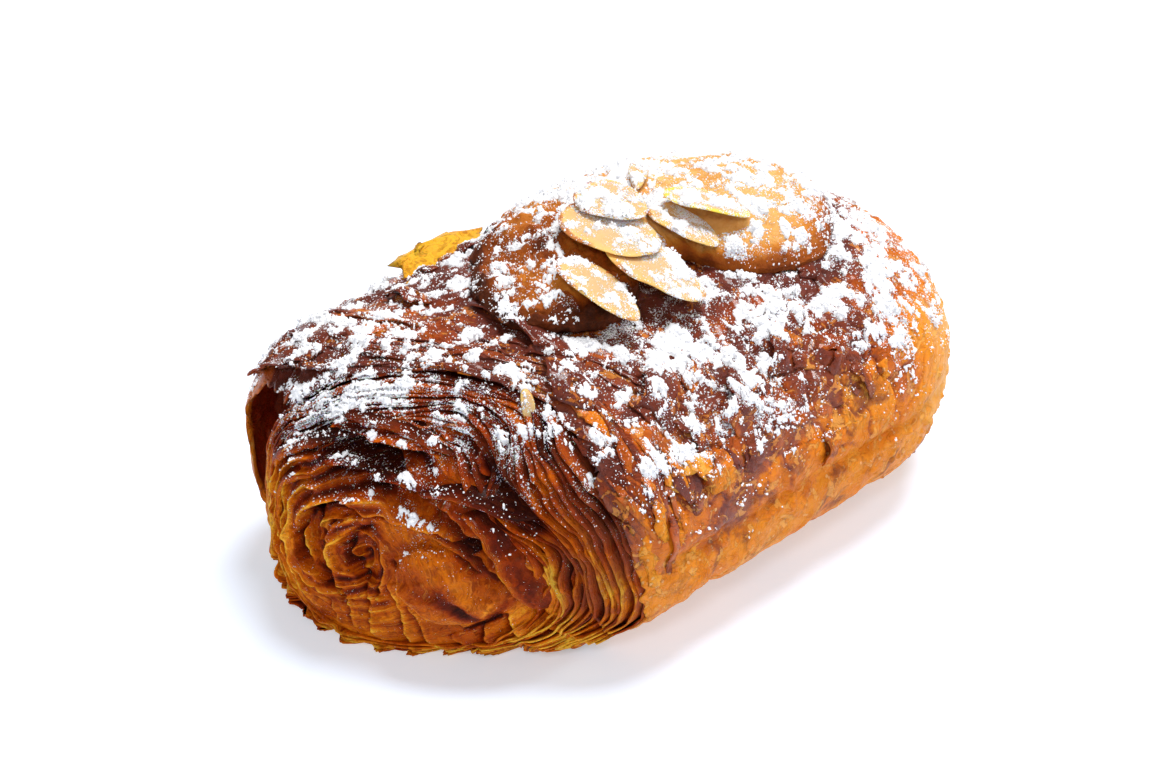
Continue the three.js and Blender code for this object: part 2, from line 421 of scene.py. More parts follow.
@dataclass
class Workshop:
    """Turns finished meshes into pieces of the object, and remembers them.

    Attributes:
        shift: The frame's origin in the makers' own coordinates, in mm.
        made: The pieces so far.
    """

    shift: Array
    made: list[bpy.types.Object] = field(default_factory=list)

    def piece(self, name: str, mesh: bpy.types.Mesh, finish: "Finish",
              slot: str) -> bpy.types.Object:
        """Places a mesh in the frame as a piece that rides on the pastry.

        Args:
            name: The piece's name.
            mesh: Its mesh, in the makers' coordinates.
            finish: What it is made of.
            slot: The name of that finish's slot; not used.

        Returns:
            The piece.
        """
        move(mesh, coordinates(mesh) - self.shift * MM)
        mesh.name = name
        mesh.polygons.foreach_set("use_smooth", np.full(len(mesh.polygons), True))
        mesh.materials.append(finish.material())
        thing = link(name, mesh)
        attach(thing, BODY)
        self.made.append(thing)
        log.info("%s: %d faces", name, len(mesh.polygons))
        return thing


# ---- material maths ----
class Val:
    """An output socket on which Python's operators add Math nodes."""

    def __init__(self, tree: "Tree", socket: bpy.types.NodeSocket) -> None:
        """Wraps a socket of a tree."""
        self.tree = tree
        self.socket = socket

    def _math(self, operation: str, a: "Val | float", b: "Val | float" = 0.0) -> "Val":
        """Adds a Math node."""
        return self.tree.node("ShaderNodeMath", {"operation": operation}, {0: a, 1: b})

    def __add__(self, other: "Val | float") -> "Val":
        """Sum."""
        return self._math("ADD", self, other)

    __radd__ = __add__

    def __sub__(self, other: "Val | float") -> "Val":
        """Difference."""
        return self._math("SUBTRACT", self, other)

    def size(self) -> "Val":
        """The value without its sign."""
        return self._math("ABSOLUTE", self)

    def __rsub__(self, other: float) -> "Val":
        """Difference from a number."""
        return self._math("SUBTRACT", other, self)

    def __mul__(self, other: "Val | float") -> "Val":
        """Product."""
        return self._math("MULTIPLY", self, other)

    __rmul__ = __mul__

    def smooth(self, low: float, high: float) -> "Val":
        """Smooth step from 0 at low to 1 at high, where low is the smaller."""
        return self.tree.node("ShaderNodeMapRange", {"interpolation_type": "SMOOTHSTEP"},
                              {"Value": self, "From Min": low, "From Max": high})


@dataclass
class Tree:
    """Builds one material's nodes."""

    nodes: bpy.types.NodeTree

    def node(self, kind: str, settings: dict | None = None, inputs: dict | None = None,
             output: int | str = 0) -> Val:
        """Adds a node.

        Args:
            kind: The node's type.
            settings: Its properties; "stops" fills a colour ramp.
            inputs: Values or links, by socket name or number.
            output: The output to hand back.

        Returns:
            The chosen output.
        """
        made = self.nodes.nodes.new(kind)
        for key, value in (settings or {}).items():
            if key == "stops":
                self._stops(made.color_ramp, value)
            else:
                setattr(made, key, value)
        self.wire(made, inputs or {})
        return Val(self, made.outputs[output])

    def wire(self, node: bpy.types.Node, inputs: dict) -> None:
        """Sets or links a node's sockets.

        Args:
            node: The node.
            inputs: A value or a link for each socket's name or number.
        """
        for key, value in inputs.items():
            if isinstance(value, Val):
                self.nodes.links.new(value.socket, node.inputs[key])
            else:
                node.inputs[key].default_value = value

    @staticmethod
    def _stops(colours: bpy.types.ColorRamp, stops: Sequence[tuple[float, Colour]]) -> None:
        """Fills a colour ramp from pairs of place and colour.

        Args:
            colours: The ramp.
            stops: Pairs of place and colour.
        """
        while len(colours.elements) < len(stops):
            colours.elements.new(1.0)
        for element, (place, colour) in zip(colours.elements, stops):
            element.position = place
            element.color = (*colour, 1.0)

    def place(self) -> Val:
        """Object coordinates."""
        return self.node("ShaderNodeTexCoord", output="Object")

    def grained(self, stretch: float, turn: float) -> Val:
        """Object coordinates turned about z, in degrees, and stretched along their x.

        Args:
            stretch: How much is made of the distance along x.
            turn: The turn.

        Returns:
            The coordinates.
        """
        return self.node("ShaderNodeMapping", None, {
            "Vector": self.place(), "Scale": (stretch, 1.0, 1.0),
            "Rotation": (0.0, 0.0, math.radians(turn))})

    def noise(self, size: float, detail: float = 3.0, rough: float = 0.55, warp: float = 0.0,
              where: Val | None = None) -> Val:
        """Cloudy noise from 0 to 1 with features of a size in mm.

        Args:
            size: Size of a feature.
            detail: How many finer layers are added.
            rough: How strong those are.
            warp: How much the pattern is swirled.
            where: Coordinates to use instead of the object's.

        Returns:
            The noise.
        """
        return self.node("ShaderNodeTexNoise", None, {
            "Vector": where or self.place(), "Scale": 1 / (size * MM), "Detail": detail,
            "Roughness": rough, "Distortion": warp})

    def cells(self, size: float) -> Val:
        """Distance to the nearest middle of irregular cells of a size in mm."""
        return self.node("ShaderNodeTexVoronoi", None, {"Vector": self.place(),
                                                        "Scale": 1 / (size * MM)})

    def painted(self, name: str) -> Val:
        """A number painted on the mesh."""
        return self.node("ShaderNodeAttribute", {"attribute_name": name}, output="Fac")

    def colours(self, share: Val, stops: Sequence[tuple[float, Colour]]) -> Val:
        """Colour from a ramp."""
        return self.node("ShaderNodeValToRGB", {"stops": stops}, {"Fac": share})

    def blend(self, share: Val, a: Val | Colour, b: Val | Colour) -> Val:
        """Mix of two colours.

        Args:
            share: How much of the second.
            a: The first colour.
            b: The second.

        Returns:
            The mixed colour.
        """
        pair = [c if isinstance(c, Val) else (*c, 1.0) for c in (a, b)]
        return self.node("ShaderNodeMix", {"data_type": "RGBA"},
                         {0: share, 6: pair[0], 7: pair[1]}, output=2)

    def relief(self, height: Val, distance: float) -> Val:
        """Bump from a height, with the distance in mm."""
        return self.node("ShaderNodeBump", None, {"Height": height, "Distance": distance * MM})


@dataclass(frozen=True)
class Finish:
    """A material that is made once and shared."""

    name: str

    def material(self) -> bpy.types.Material:
        """The Blender material of this finish.

        Returns:
            The material, which is made at the first call.
        """
        known = bpy.data.materials.get(self.name)
        if known:
            return known
        made = bpy.data.materials.new(self.name)
        made.use_nodes = True
        tree = Tree(made.node_tree)
        self.dress(tree, made.node_tree.nodes["Principled BSDF"])
        return made

    def dress(self, tree: Tree, shader: bpy.types.Node) -> None:
        """Sets the shader's sockets; each finish has its own."""
        raise NotImplementedError


def dusted(tree: Tree, colour: Val, film: float) -> tuple[Val, Val]:
    """Fine sugar over a colour, as thick as the painted "dust" says.

    Args:
        tree: The material's nodes.
        colour: The colour below.
        film: Strength of the finest haze.

    Returns:
        The dusted colour, and the share covered by specks.
    """
    dust = tree.painted("dust")
    fine = tree.noise(0.28, 2.0, 0.6)
    patch = tree.noise(2.4, 3.0, 0.6)
    level = fine * 0.7 + patch * 0.3 + dust * 0.33
    specks = level.smooth(0.765, 0.8)
    hazed = tree.blend(dust * film * patch.smooth(0.35, 0.7), colour, (0.8, 0.62, 0.58))
    return tree.blend(specks, hazed, (0.9, 0.9, 0.93)), specks


@dataclass(frozen=True)
class BakedCrust(Finish):
    """Egg-washed crust, from pale gold at the foot to deep mauve brown on the crown."""

    name: str = "baked_crust"

    def dress(self, tree: Tree, shader: bpy.types.Node) -> None:
        """Sets the crust's colours, gloss and fine wrinkles.

        Args:
            tree: The material's nodes.
            shader: Its Principled shader.
        """
        bake = tree.painted("bake")
        broad = tree.noise(7.0, 4.0, 0.6, 0.4)
        mottle = tree.noise(1.6, 4.0, 0.65, 0.6)
        heat = bake + (broad - 0.5) * 0.34 + (mottle - 0.5) * 0.3
        base = tree.colours(heat, [
            (0.05, (0.9, 0.43, 0.08)), (0.22, (0.84, 0.29, 0.02)), (0.4, (0.72, 0.19, 0.009)),
            (0.56, (0.5, 0.1, 0.004)), (0.72, (0.28, 0.04, 0.003)), (0.86, (0.11, 0.012, 0.002)),
            (1.0, (0.025, 0.003, 0.001))])
        pits = tree.cells(1.5)
        spots = (1 - pits.smooth(0.14, 0.3)) * mottle.smooth(0.46, 0.56) * (1 - bake.smooth(0.52, 0.66))
        speckled = tree.blend(spots * 0.8, base, (0.93, 0.5, 0.19))
        # Mauve brown wash: the crust's own colour in patches, laid on more where it is most baked, which
        # also paints the greyish sheen of the glaze on the crown.
        wash = tree.noise(9.0, 4.0, 0.6, 0.8)
        mauve = (wash + bake * 0.3 + mottle * 0.14).smooth(0.68, 0.88)
        washed = tree.blend(mauve * 0.75, speckled, (0.15, 0.031, 0.019))
        torn = tree.noise(3.2, 5.0, 0.6, 1.1)
        bare = torn.smooth(0.578, 0.594) * (1 - bake.smooth(0.9, 0.97))
        # Painted shadow: a dark rim round the edges of the peeled patches, where a lifted edge would shade
        # the crust below it.
        painted_shadow_rim = torn.smooth(0.548, 0.579) * (1 - torn.smooth(0.579, 0.59))
        shadow_outlined = tree.blend(painted_shadow_rim * bake.smooth(0.35, 0.6) * 0.3, washed, (0.16, 0.03, 0.012))
        peeled = tree.blend(bare * 0.72, shadow_outlined, tree.colours(heat, [
            (0.2, (0.9, 0.41, 0.08)), (0.5, (0.8, 0.32, 0.06)), (0.8, (0.54, 0.15, 0.02))]))
        # Painted shade and glow: the inside of the rim's fold is deep red, for its shadowed hollow lit
        # through the thin crust.
        inside = tree.blend(mottle.smooth(0.35, 0.7), (0.24, 0.013, 0.0008), (0.36, 0.03, 0.0015))
        lined = tree.blend(tree.painted("inside"), peeled, inside)
        colour, specks = dusted(tree, lined, 0.035)
        veins = tree.noise(2.6, 3.0, 0.5, 1.2)
        ridges = 1 - (veins - 0.5).size() * 9.0
        height = tree.noise(0.7, 4.0, 0.6, 0.8) * 0.4 + mottle * 0.8 + specks * 0.9 - bare * 1.1
        height = height + ridges.smooth(0.3, 1.0) * 0.5 + spots * 0.5
        tree.wire(shader, {
            "Base Color": colour,
            "Roughness": 0.3 + mottle * 0.2 + specks * 0.45,
            "Normal": tree.relief(height, 0.3),
            "Subsurface Weight": 0.12, "Subsurface Radius": (1.0, 0.35, 0.12),
            "Subsurface Scale": 1.2 * MM, "Specular IOR Level": 0.07,
            "Coat Weight": (1 - specks) * bake.smooth(0.34, 0.6) * 0.34, "Coat Roughness": 0.12})


@dataclass(frozen=True)
class DoughSheet(Finish):
    """Thin sheets of dough at the open end, honey coloured where light comes through."""

    name: str = "dough_sheet"

    def dress(self, tree: Tree, shader: bpy.types.Node) -> None:
        """Sets the sheets' colours, sheen of butter and fine grain.

        Args:
            tree: The material's nodes.
            shader: Its Principled shader.
        """
        bake = tree.painted("bake")
        broad = tree.noise(5.0, 3.0, 0.6, 0.5)
        mottle = tree.noise(1.3, 4.0, 0.65, 0.8)
        across = tree.painted("v") * 9.0 + broad * 3.0
        strata = tree.noise(1000.0, 2.0, 0.6, where=tree.node(
            "ShaderNodeCombineXYZ", {}, {"X": across, "Y": mottle * 0.6}))
        heat = bake + (broad - 0.5) * 0.36 + (mottle - 0.5) * 0.34 + (strata - 0.5) * 0.3
        base = tree.colours(heat, [
            (0.05, (0.95, 0.47, 0.035)), (0.25, (0.72, 0.18, 0.004)), (0.42, (0.51, 0.088, 0.001)),
            (0.58, (0.31, 0.034, 0.0005)), (0.74, (0.13, 0.01, 0.0004)), (0.88, (0.045, 0.003, 0.0004)),
            (1.0, (0.02, 0.002, 0.001))])
        # Dark lines along the layers: the dough's own strata, deepened into painted shade in the gaps
        # between them.
        lines = 1 - (strata - 0.5).size() * 7.0
        strata_and_shade = tree.blend(lines.smooth(0.2, 1.0) * mottle.smooth(0.4, 0.6) * 0.45, base,
                          (0.12, 0.016, 0.001))
        # Painted highlight: thin bright lines along the crests of the layers.
        highlight_crests = 1 - (strata - 0.6).size() * 16.0
        painted_highlight = highlight_crests.smooth(0.1, 1.0) * (1 - bake.smooth(0.5, 0.75)) * mottle.smooth(0.45, 0.6) * 0.35
        lined = tree.blend(painted_highlight, strata_and_shade, (0.92, 0.36, 0.05))
        mauve = tree.painted("mauve") * broad.smooth(0.3, 0.65) * (1 - bake.smooth(0.8, 1.0))
        toned = tree.blend(mauve * 0.7, lined, (0.27, 0.058, 0.022))
        colour, specks = dusted(tree, toned, 0.01)
        height = tree.noise(0.6, 4.0, 0.65, 1.0) + mottle * 1.1 + specks * 0.8 + strata * 1.3
        tree.wire(shader, {
            "Base Color": colour,
            "Roughness": 0.3 + mottle * 0.2 + specks * 0.45,
            "Normal": tree.relief(height, 0.3),
            "Subsurface Weight": 0.2, "Subsurface Radius": (1.0, 0.25, 0.02),
            "Subsurface Scale": 1.2 * MM, "Specular IOR Level": 0.025,
            "Coat Weight": (1 - specks) * 0.06, "Coat Roughness": 0.12})


@dataclass(frozen=True)
class BakedCream(Finish):
    """Almond cream baked to a biscuit tan, browner and rougher where it ran thin."""

    name: str = "baked_almond_cream"

    def dress(self, tree: Tree, shader: bpy.types.Node) -> None:
        """Sets the cream's colours and crumb.

        Args:
            tree: The material's nodes.
            shader: Its Principled shader.
        """
        bake = tree.painted("bake")
        broad = tree.noise(6.0, 4.0, 0.6, 0.3)
        crumb = tree.noise(0.9, 5.0, 0.7, 0.4)
        heat = bake + (broad - 0.5) * 0.3 + (crumb - 0.5) * 0.22
        base = tree.colours(heat, [
            (0.05, (0.82, 0.53, 0.23)), (0.3, (0.76, 0.4, 0.12)), (0.5, (0.6, 0.21, 0.025)),
            (0.7, (0.37, 0.085, 0.006)), (0.9, (0.15, 0.026, 0.003)), (1.0, (0.05, 0.01, 0.002))])
        colour, specks = dusted(tree, base, 0.04)
        pores = tree.cells(0.75)
        height = crumb * 1.1 + pores * 0.4 + specks * 0.8
        tree.wire(shader, {
            "Base Color": colour,
            "Roughness": 0.52 + crumb * 0.2 + specks * 0.2,
            "Normal": tree.relief(height, 0.34),
            "Subsurface Weight": 0.25, "Subsurface Radius": (1.0, 0.5, 0.22),
            "Subsurface Scale": 1.6 * MM, "Specular IOR Level": 0.12})


@dataclass(frozen=True)
class SlicedAlmond(Finish):
    """Sliced almond: ivory, toasted gold at the rim, with a thread of brown skin."""

    name: str = "sliced_almond"

    def dress(self, tree: Tree, shader: bpy.types.Node) -> None:
        """Sets the almond's colours and faint grain.

        Args:
            tree: The material's nodes.
            shader: Its Principled shader.
        """
        rim = tree.painted("rim")
        grain = tree.noise(0.8, 3.0, 0.6, 0.3, tree.grained(0.35, 62))
        cloudy = tree.noise(4.0, 3.0)
        toast = rim + (grain - 0.5) * 0.14 + (cloudy - 0.5) * 0.3
        base = tree.colours(toast, [
            (0.2, (0.66, 0.41, 0.2)), (0.74, (0.7, 0.42, 0.18)), (0.9, (0.8, 0.46, 0.16)),
            (1.0, (0.82, 0.45, 0.12))])
        skin = toast.smooth(0.93, 0.99) * tree.painted("skin")
        rimmed = tree.blend(skin, base, (0.42, 0.14, 0.03))
        # Painted glow: the yellow rim of one slice, for light shining through its thin edge.
        glow_rim = rim.smooth(0.8, 0.9) * tree.painted("glow_rim")
        edged = tree.blend(glow_rim, rimmed, (0.95, 0.62, 0.06))
        colour, specks = dusted(tree, edged, 0.1)
        height = grain * 0.6 + specks
        tree.wire(shader, {
            "Base Color": colour,
            "Roughness": 0.4 + grain * 0.15 + specks * 0.35,
            "Normal": tree.relief(height, 0.16),
            "Subsurface Weight": 0.6, "Subsurface Radius": (1.0, 0.6, 0.28),
            "Subsurface Scale": 2.6 * MM, "Specular IOR Level": 0.25})


@dataclass(frozen=True)
class SugarPowder(Finish):
    """Icing sugar, white and crumbly."""

    name: str = "icing_sugar"

    def dress(self, tree: Tree, shader: bpy.types.Node) -> None:
        """Sets the sugar's white and its grain.

        Args:
            tree: The material's nodes.
            shader: Its Principled shader.
        """
        fine = tree.noise(0.35, 4.0, 0.7)
        lumps = tree.noise(1.1, 3.0, 0.6)
        colour = tree.blend(lumps.smooth(0.3, 0.7), (0.9, 0.9, 0.93), (0.95, 0.95, 0.97))
        # A faint white emission makes the sugar glow whiter than its lighting gives: painted light.
        tree.wire(shader, {
            "Base Color": colour,
            "Roughness": 0.9 + fine * 0.08,
            "Normal": tree.relief(fine + lumps * 0.6, 0.22),
            "Subsurface Weight": 0.3, "Subsurface Radius": (1.0, 0.95, 0.9),
            "Subsurface Scale": 0.7 * MM, "Specular IOR Level": 0.2,
            "Emission Color": (0.95, 0.96, 1.0, 1.0), "Emission Strength": 0.12})


@dataclass(frozen=True)
class PaleFloor(Finish):
    """Plain white table."""

    name: str = "pale_floor"

    def dress(self, tree: Tree, shader: bpy.types.Node) -> None:
        """Sets the table's even white.

        Args:
            tree: The material's nodes.
            shader: Its Principled shader.
        """
        tree.wire(shader, {
            "Base Color": (0.61, 0.7, 0.85, 1.0), "Roughness": 0.8,
            "Specular IOR Level": 0.1, "Emission Color": (1.0, 1.0, 1.0, 1.0),
            "Emission Strength": 0.4})


# ---- the roll's own shape ----
@dataclass(frozen=True)
class Tip:
    """How one end of the roll closes: its middle, and the lengths over which it fills out."""

    y: float
    z: float
    right: float
    left: float
    top: float
    sink: float


@dataclass(frozen=True)
class Pool:
    """One of the pools of cream that ran together: an ellipse seen from above, and its height."""

    x: float
    y: float
    length: float
    width: float
    rise: float


@dataclass(frozen=True)
class PastryForm:
    """Sections along the roll, whose angles go from +Y to +Z.

    Attributes:
        near_x, far_x: Its open and its closed end.
        right_y, left_y: Its two sides.
        top_z, waist_z: Its crown, and the height where it is widest.
        sink: How far its full section would reach below the waist; the table cuts it off.
        upper, lower: Powers of the superellipses above and below the waist.
        near, far: How the two ends close.
        rim_left, rim_right: The x of the crust's open edge on the two sides.
        eye: The middle of the coil in the cross plane.
        pools: The pools of cream on the crown, from the open end.
    """

    near_x: float = -62.0
    far_x: float = 66.5
    right_y: float = -40.0
    left_y: float = 42.0
    top_z: float = 51.9
    waist_z: float = 21.0
    sink: float = 25.0
    upper: float = 2.41
    lower: float = 2.02
    near: Tip = Tip(8.0, 24.0, 33.9, 29.0, 27.0, 10.0)
    far: Tip = Tip(0.0, 20.0, 35.4, 31.8, 31.1, 25.0)
    rim_left: float = -54.0
    rim_right: float = -35.0
    eye: tuple[float, float] = (1.0, 20.0)
    pools: tuple[Pool, ...] = (Pool(-14, -1.5, 14, 12.5, 2.4), Pool(7, 8, 28, 17, 6.0),
                               Pool(26.8, -4.5, 17.5, 17, 5.6))

    def shift(self, low: Vector, high: Vector) -> Array:
        """Where the frame's origin lies in these coordinates, from the roll's box in metres."""
        middle = (low.y + high.y) / 2 / MM
        return np.array([self.far_x - high.x / MM, (self.right_y + self.left_y) / 2 - middle, 0.0])

    def section(self, x: Array) -> tuple[Array, Array, Array, Array]:
        """Middle, half width and the two half heights of the section at each x.

        Args:
            x: Places along the roll.

        Returns:
            Middle, half width, height above the waist and depth below it.
        """
        near, far = x - self.near_x, self.far_x - x
        right = mix(self.near.y, self.right_y, fill(near / self.near.right, 1.5, 1.2))
        left = mix(self.near.y, self.left_y, fill(near / self.near.left, 2, 2))
        right = mix(self.far.y, right, fill(far / self.far.right, 2.2, 2.2))
        left = mix(self.far.y, left, fill(far / self.far.left, 2.2, 2.2))
        rise = np.minimum(fill(near / self.near.top, 2.4, 2), fill(far / self.far.top, 2, 2))
        tip = np.where(x < 0, self.near.z, self.far.z)
        drop = np.minimum(fill(near / self.near.sink, 2, 2), fill(far / self.far.sink, 2, 2))
        return ((right + left) / 2, (left - right) / 2,
                mix(tip, self.top_z, rise) - self.waist_z, self.sink * drop)

    def surface(self, x: Array, angle: Array) -> Array:
        """Points of the crust, with its pressed seam and its curled flap.

        Args:
            x: Places along the roll.
            angle: Places round it, in degrees.

        Returns:
            Points in mm.
        """
        middle, half, up, down = self.section(x)
        c, h = np.cos(np.radians(angle)), np.sin(np.radians(angle))
        power = np.where(h > 0, 2 / self.upper, 2 / self.lower)
        y = middle + half * np.sign(c) * np.abs(c) ** power
        z = self.waist_z + np.where(h > 0, up, down) * np.sign(h) * np.abs(h) ** power
        ends = ramp(x, -35, -21) * ramp(x, 58.5, 36.5)
        crease = 1.3 * np.exp(-(((z - 22.5) / 1.7) ** 2))
        band = 0.8 * np.exp(-(((z - 13) / 3.6) ** 2))
        out = ends * (band - crease) + 3.0 * bump(angle, 14, 34) * ramp(x, -34, -54)
        return np.stack([x, y + out * c, z + out * h], axis=1)

    def normal(self, x: Array, angle: Array) -> Array:
        """Outward directions of the crust.

        Args:
            x: Places along the roll.
            angle: Places round it, in degrees.

        Returns:
            One unit vector per place.
        """
        step = 0.05
        x = np.minimum(x, self.far_x - 2 * step)
        along = self.surface(x + step, angle) - self.surface(x - step, angle)
        around = self.surface(x, angle + step) - self.surface(x, angle - step)
        out = np.cross(around, along)
        size = np.linalg.norm(out, axis=1, keepdims=True)
        return np.where(size > 1e-9, out / np.maximum(size, 1e-9), np.array([1.0, 0.0, 0.0]))

    def end_face(self, y: Array, z: Array) -> Array:
        """The x at which the rounded open end passes through points of the cross plane.

        Args:
            y: Their y.
            z: Their z.

        Returns:
            The x of each.
        """
        full = np.where(z > self.waist_z, self.upper, self.lower)
        outside = np.full(len(y), self.near_x)
        inside = np.full(len(y), -20.0)
        for _ in range(22):
            x = (outside + inside) / 2
            middle, half, up, down = self.section(x)
            across = np.abs(y - middle) / np.maximum(half, 1e-6)
            along = np.abs(z - self.waist_z) / np.maximum(np.where(z > self.waist_z, up, down), 1e-6)
            within = across ** full + along ** full < 1
            inside, outside = np.where(within, x, inside), np.where(within, outside, x)
        return inside

    def rim(self, angle: Array) -> Array:
        """The x of the crust's open edge at each angle, before it is torn.

        Args:
            angle: Places round the roll, in degrees.

        Returns:
            The x of each.
        """
        angle = angle % 360
        right = self.rim_right + 0.1 * (np.clip(angle, 150, 215) - 150)
        share = ramp(angle, 74, 122) * (1 - ramp(angle, 215, 360))
        return mix(self.rim_left, right, share)

    def contour(self, angle: Array, scale: Array) -> tuple[Array, Array]:
        """The y and z of points between the coil's upright eye, at scale 0, and the rim, at 1.

        Args:
            angle: Directions from the eye, in degrees.
            scale: Shares of the way out.

        Returns:
            The y and the z of each.
        """
        edge = self.surface(self.rim(angle), angle)
        slim = 1 - 0.38 * (1 - scale) ** 2
        return mix(self.eye[0], edge[:, 1], scale * slim), mix(self.eye[1], edge[:, 2], scale)


def trace(y: Array, z: Array, line: Line) -> tuple[Array, Array]:
    """Where points of the cross plane lie beside a line of points.

    Args:
        y: Their y, in mm.
        z: Their z.
        line: The line's corners.

    Returns:
        The distance, which is positive on the line's left seen from the open end when the line
        runs down, and how far along the line from 0 to 1.
    """
    here = np.stack([y, z], axis=1)
    corners = np.array(line, float)
    lengths = np.linalg.norm(np.diff(corners, axis=0), axis=1)
    best, along, start = np.full(len(y), np.inf), np.zeros(len(y)), 0.0
    for first, step, length in zip(corners[:-1], np.diff(corners, axis=0), lengths):
        share = np.clip(((here - first) @ step) / length ** 2, 0, 1)
        off = here - first - share[:, None] * step
        away = np.linalg.norm(off, axis=1)
        turned = step[0] * off[:, 1] - step[1] * off[:, 0]
        closer = away < np.abs(best)
        best = np.where(closer, away * np.where(turned < 0, -1, 1), best)
        along = np.where(closer, (start + share * length) / lengths.sum(), along)
        start += length
    return best, along


def strand(y: Array, z: Array, line: Line, width: float) -> Array:
    """A band of height 1 along a line of points in the cross plane."""
    return np.exp(-((trace(y, z, line)[0] / width) ** 2))


@dataclass(frozen=True)
class SugarFall:
    """Where the icing sugar fell and stayed."""

    def density(self, points: Array, up: Array) -> Array:
        """How much sugar lies at points, from 0 to 1.

        Args:
            points: Points in mm.
            up: The z of the normal at each.

        Returns:
            The amount at each point.
        """
        x, y, z = points.T
        height = 0.2 + 0.62 * ramp(z, 14, 45) + 0.3 * ramp(z, 51.5, 56)
        height += 0.3 * knoll(x, y, (-5.0, -22.0), (6.0, 4.0))
        height -= 0.09 * ramp(x, -12, -30) + 0.34 * ramp(x, 2, -10) * ramp(z, 51.5, 54)
        height -= 0.24 * ramp(x, 12, 24) * ramp(z, 51.5, 54)
        open_end = 1 + 0.1 * ramp(x, -40, -46) * ramp(z, 32, 44)
        far_end = 1 + 0.12 * ramp(x, 26, 40) - 0.4 * ramp(x, 48, 62)
        drift = 0.9 + 0.26 * cloud(points, 13, SEED + 1, 2)
        return np.clip(height * open_end * far_end * drift * ramp(up, 0.05, 0.6), 0, 1)

    def level(self, points: Array, up: Array) -> Array:
        """How far the fall of sugar at points is above what makes a heap.

        Args:
            points: Points in mm.
            up: The z of the normal at each.

        Returns:
            The level at each point, above 0 where a heap lies.
        """
        spot = points[:, :2]
        push = np.stack([lattice(spot, 1.3, 137), lattice(spot, 1.3, 138)], axis=1) * 0.5
        crumbs = cells(spot + push, 2.1, 131)
        small = cells(spot + push, 0.95, 132)
        crumb = np.clip(1 - crumbs.near / (0.35 + 0.4 * crumbs.tone), -1, 1)
        crumb = np.maximum(crumb, 0.75 * np.clip(1 - small.near / (0.3 + 0.4 * small.tone), -1, 1))
        patch = 0.26 * cloud(spot, 8.0, 133, 2) + 1.0 * cloud(spot, 2.5, 136, 2)
        patch += 0.3 * lattice(spot, 0.55, 134)
        return patch + 0.5 * crumb + 1.15 * self.density(points, up) - 1.22

    def dust(self, points: Array, up: Array) -> Array:
        """How thick the finest specks lie: most of them round the heaps."""
        return self.density(points, up) * (0.35 + 0.65 * ramp(self.level(points, up), -0.75, 0.05))


@dataclass
class Maker:
    """What each part of the pastry is made with.

    Attributes:
        form: The roll's shape.
        shop: Where the pieces go.
        sugar: The fall of sugar on them.
    """

    form: PastryForm
    shop: Workshop
    sugar: SugarFall


# ---- the crust ----
@dataclass(frozen=True)
class Plate:
    """A torn plate of crust, with one edge lifted.

    Attributes:
        x: Where its middle lies along the roll.
        angle: Where its middle lies round the roll.
        size: Length towards its lifted edge, and width, in mm.
        turn: Direction of the lifted edge on the unrolled crust.
        lift: Height of that edge.
        heat: How much browner it is than the crust.
        follow: 1 where it runs along the torn rim.
    """

    x: float
    angle: float
    size: tuple[float, float]
    turn: float
    lift: float
    heat: float
    follow: float = 0.0


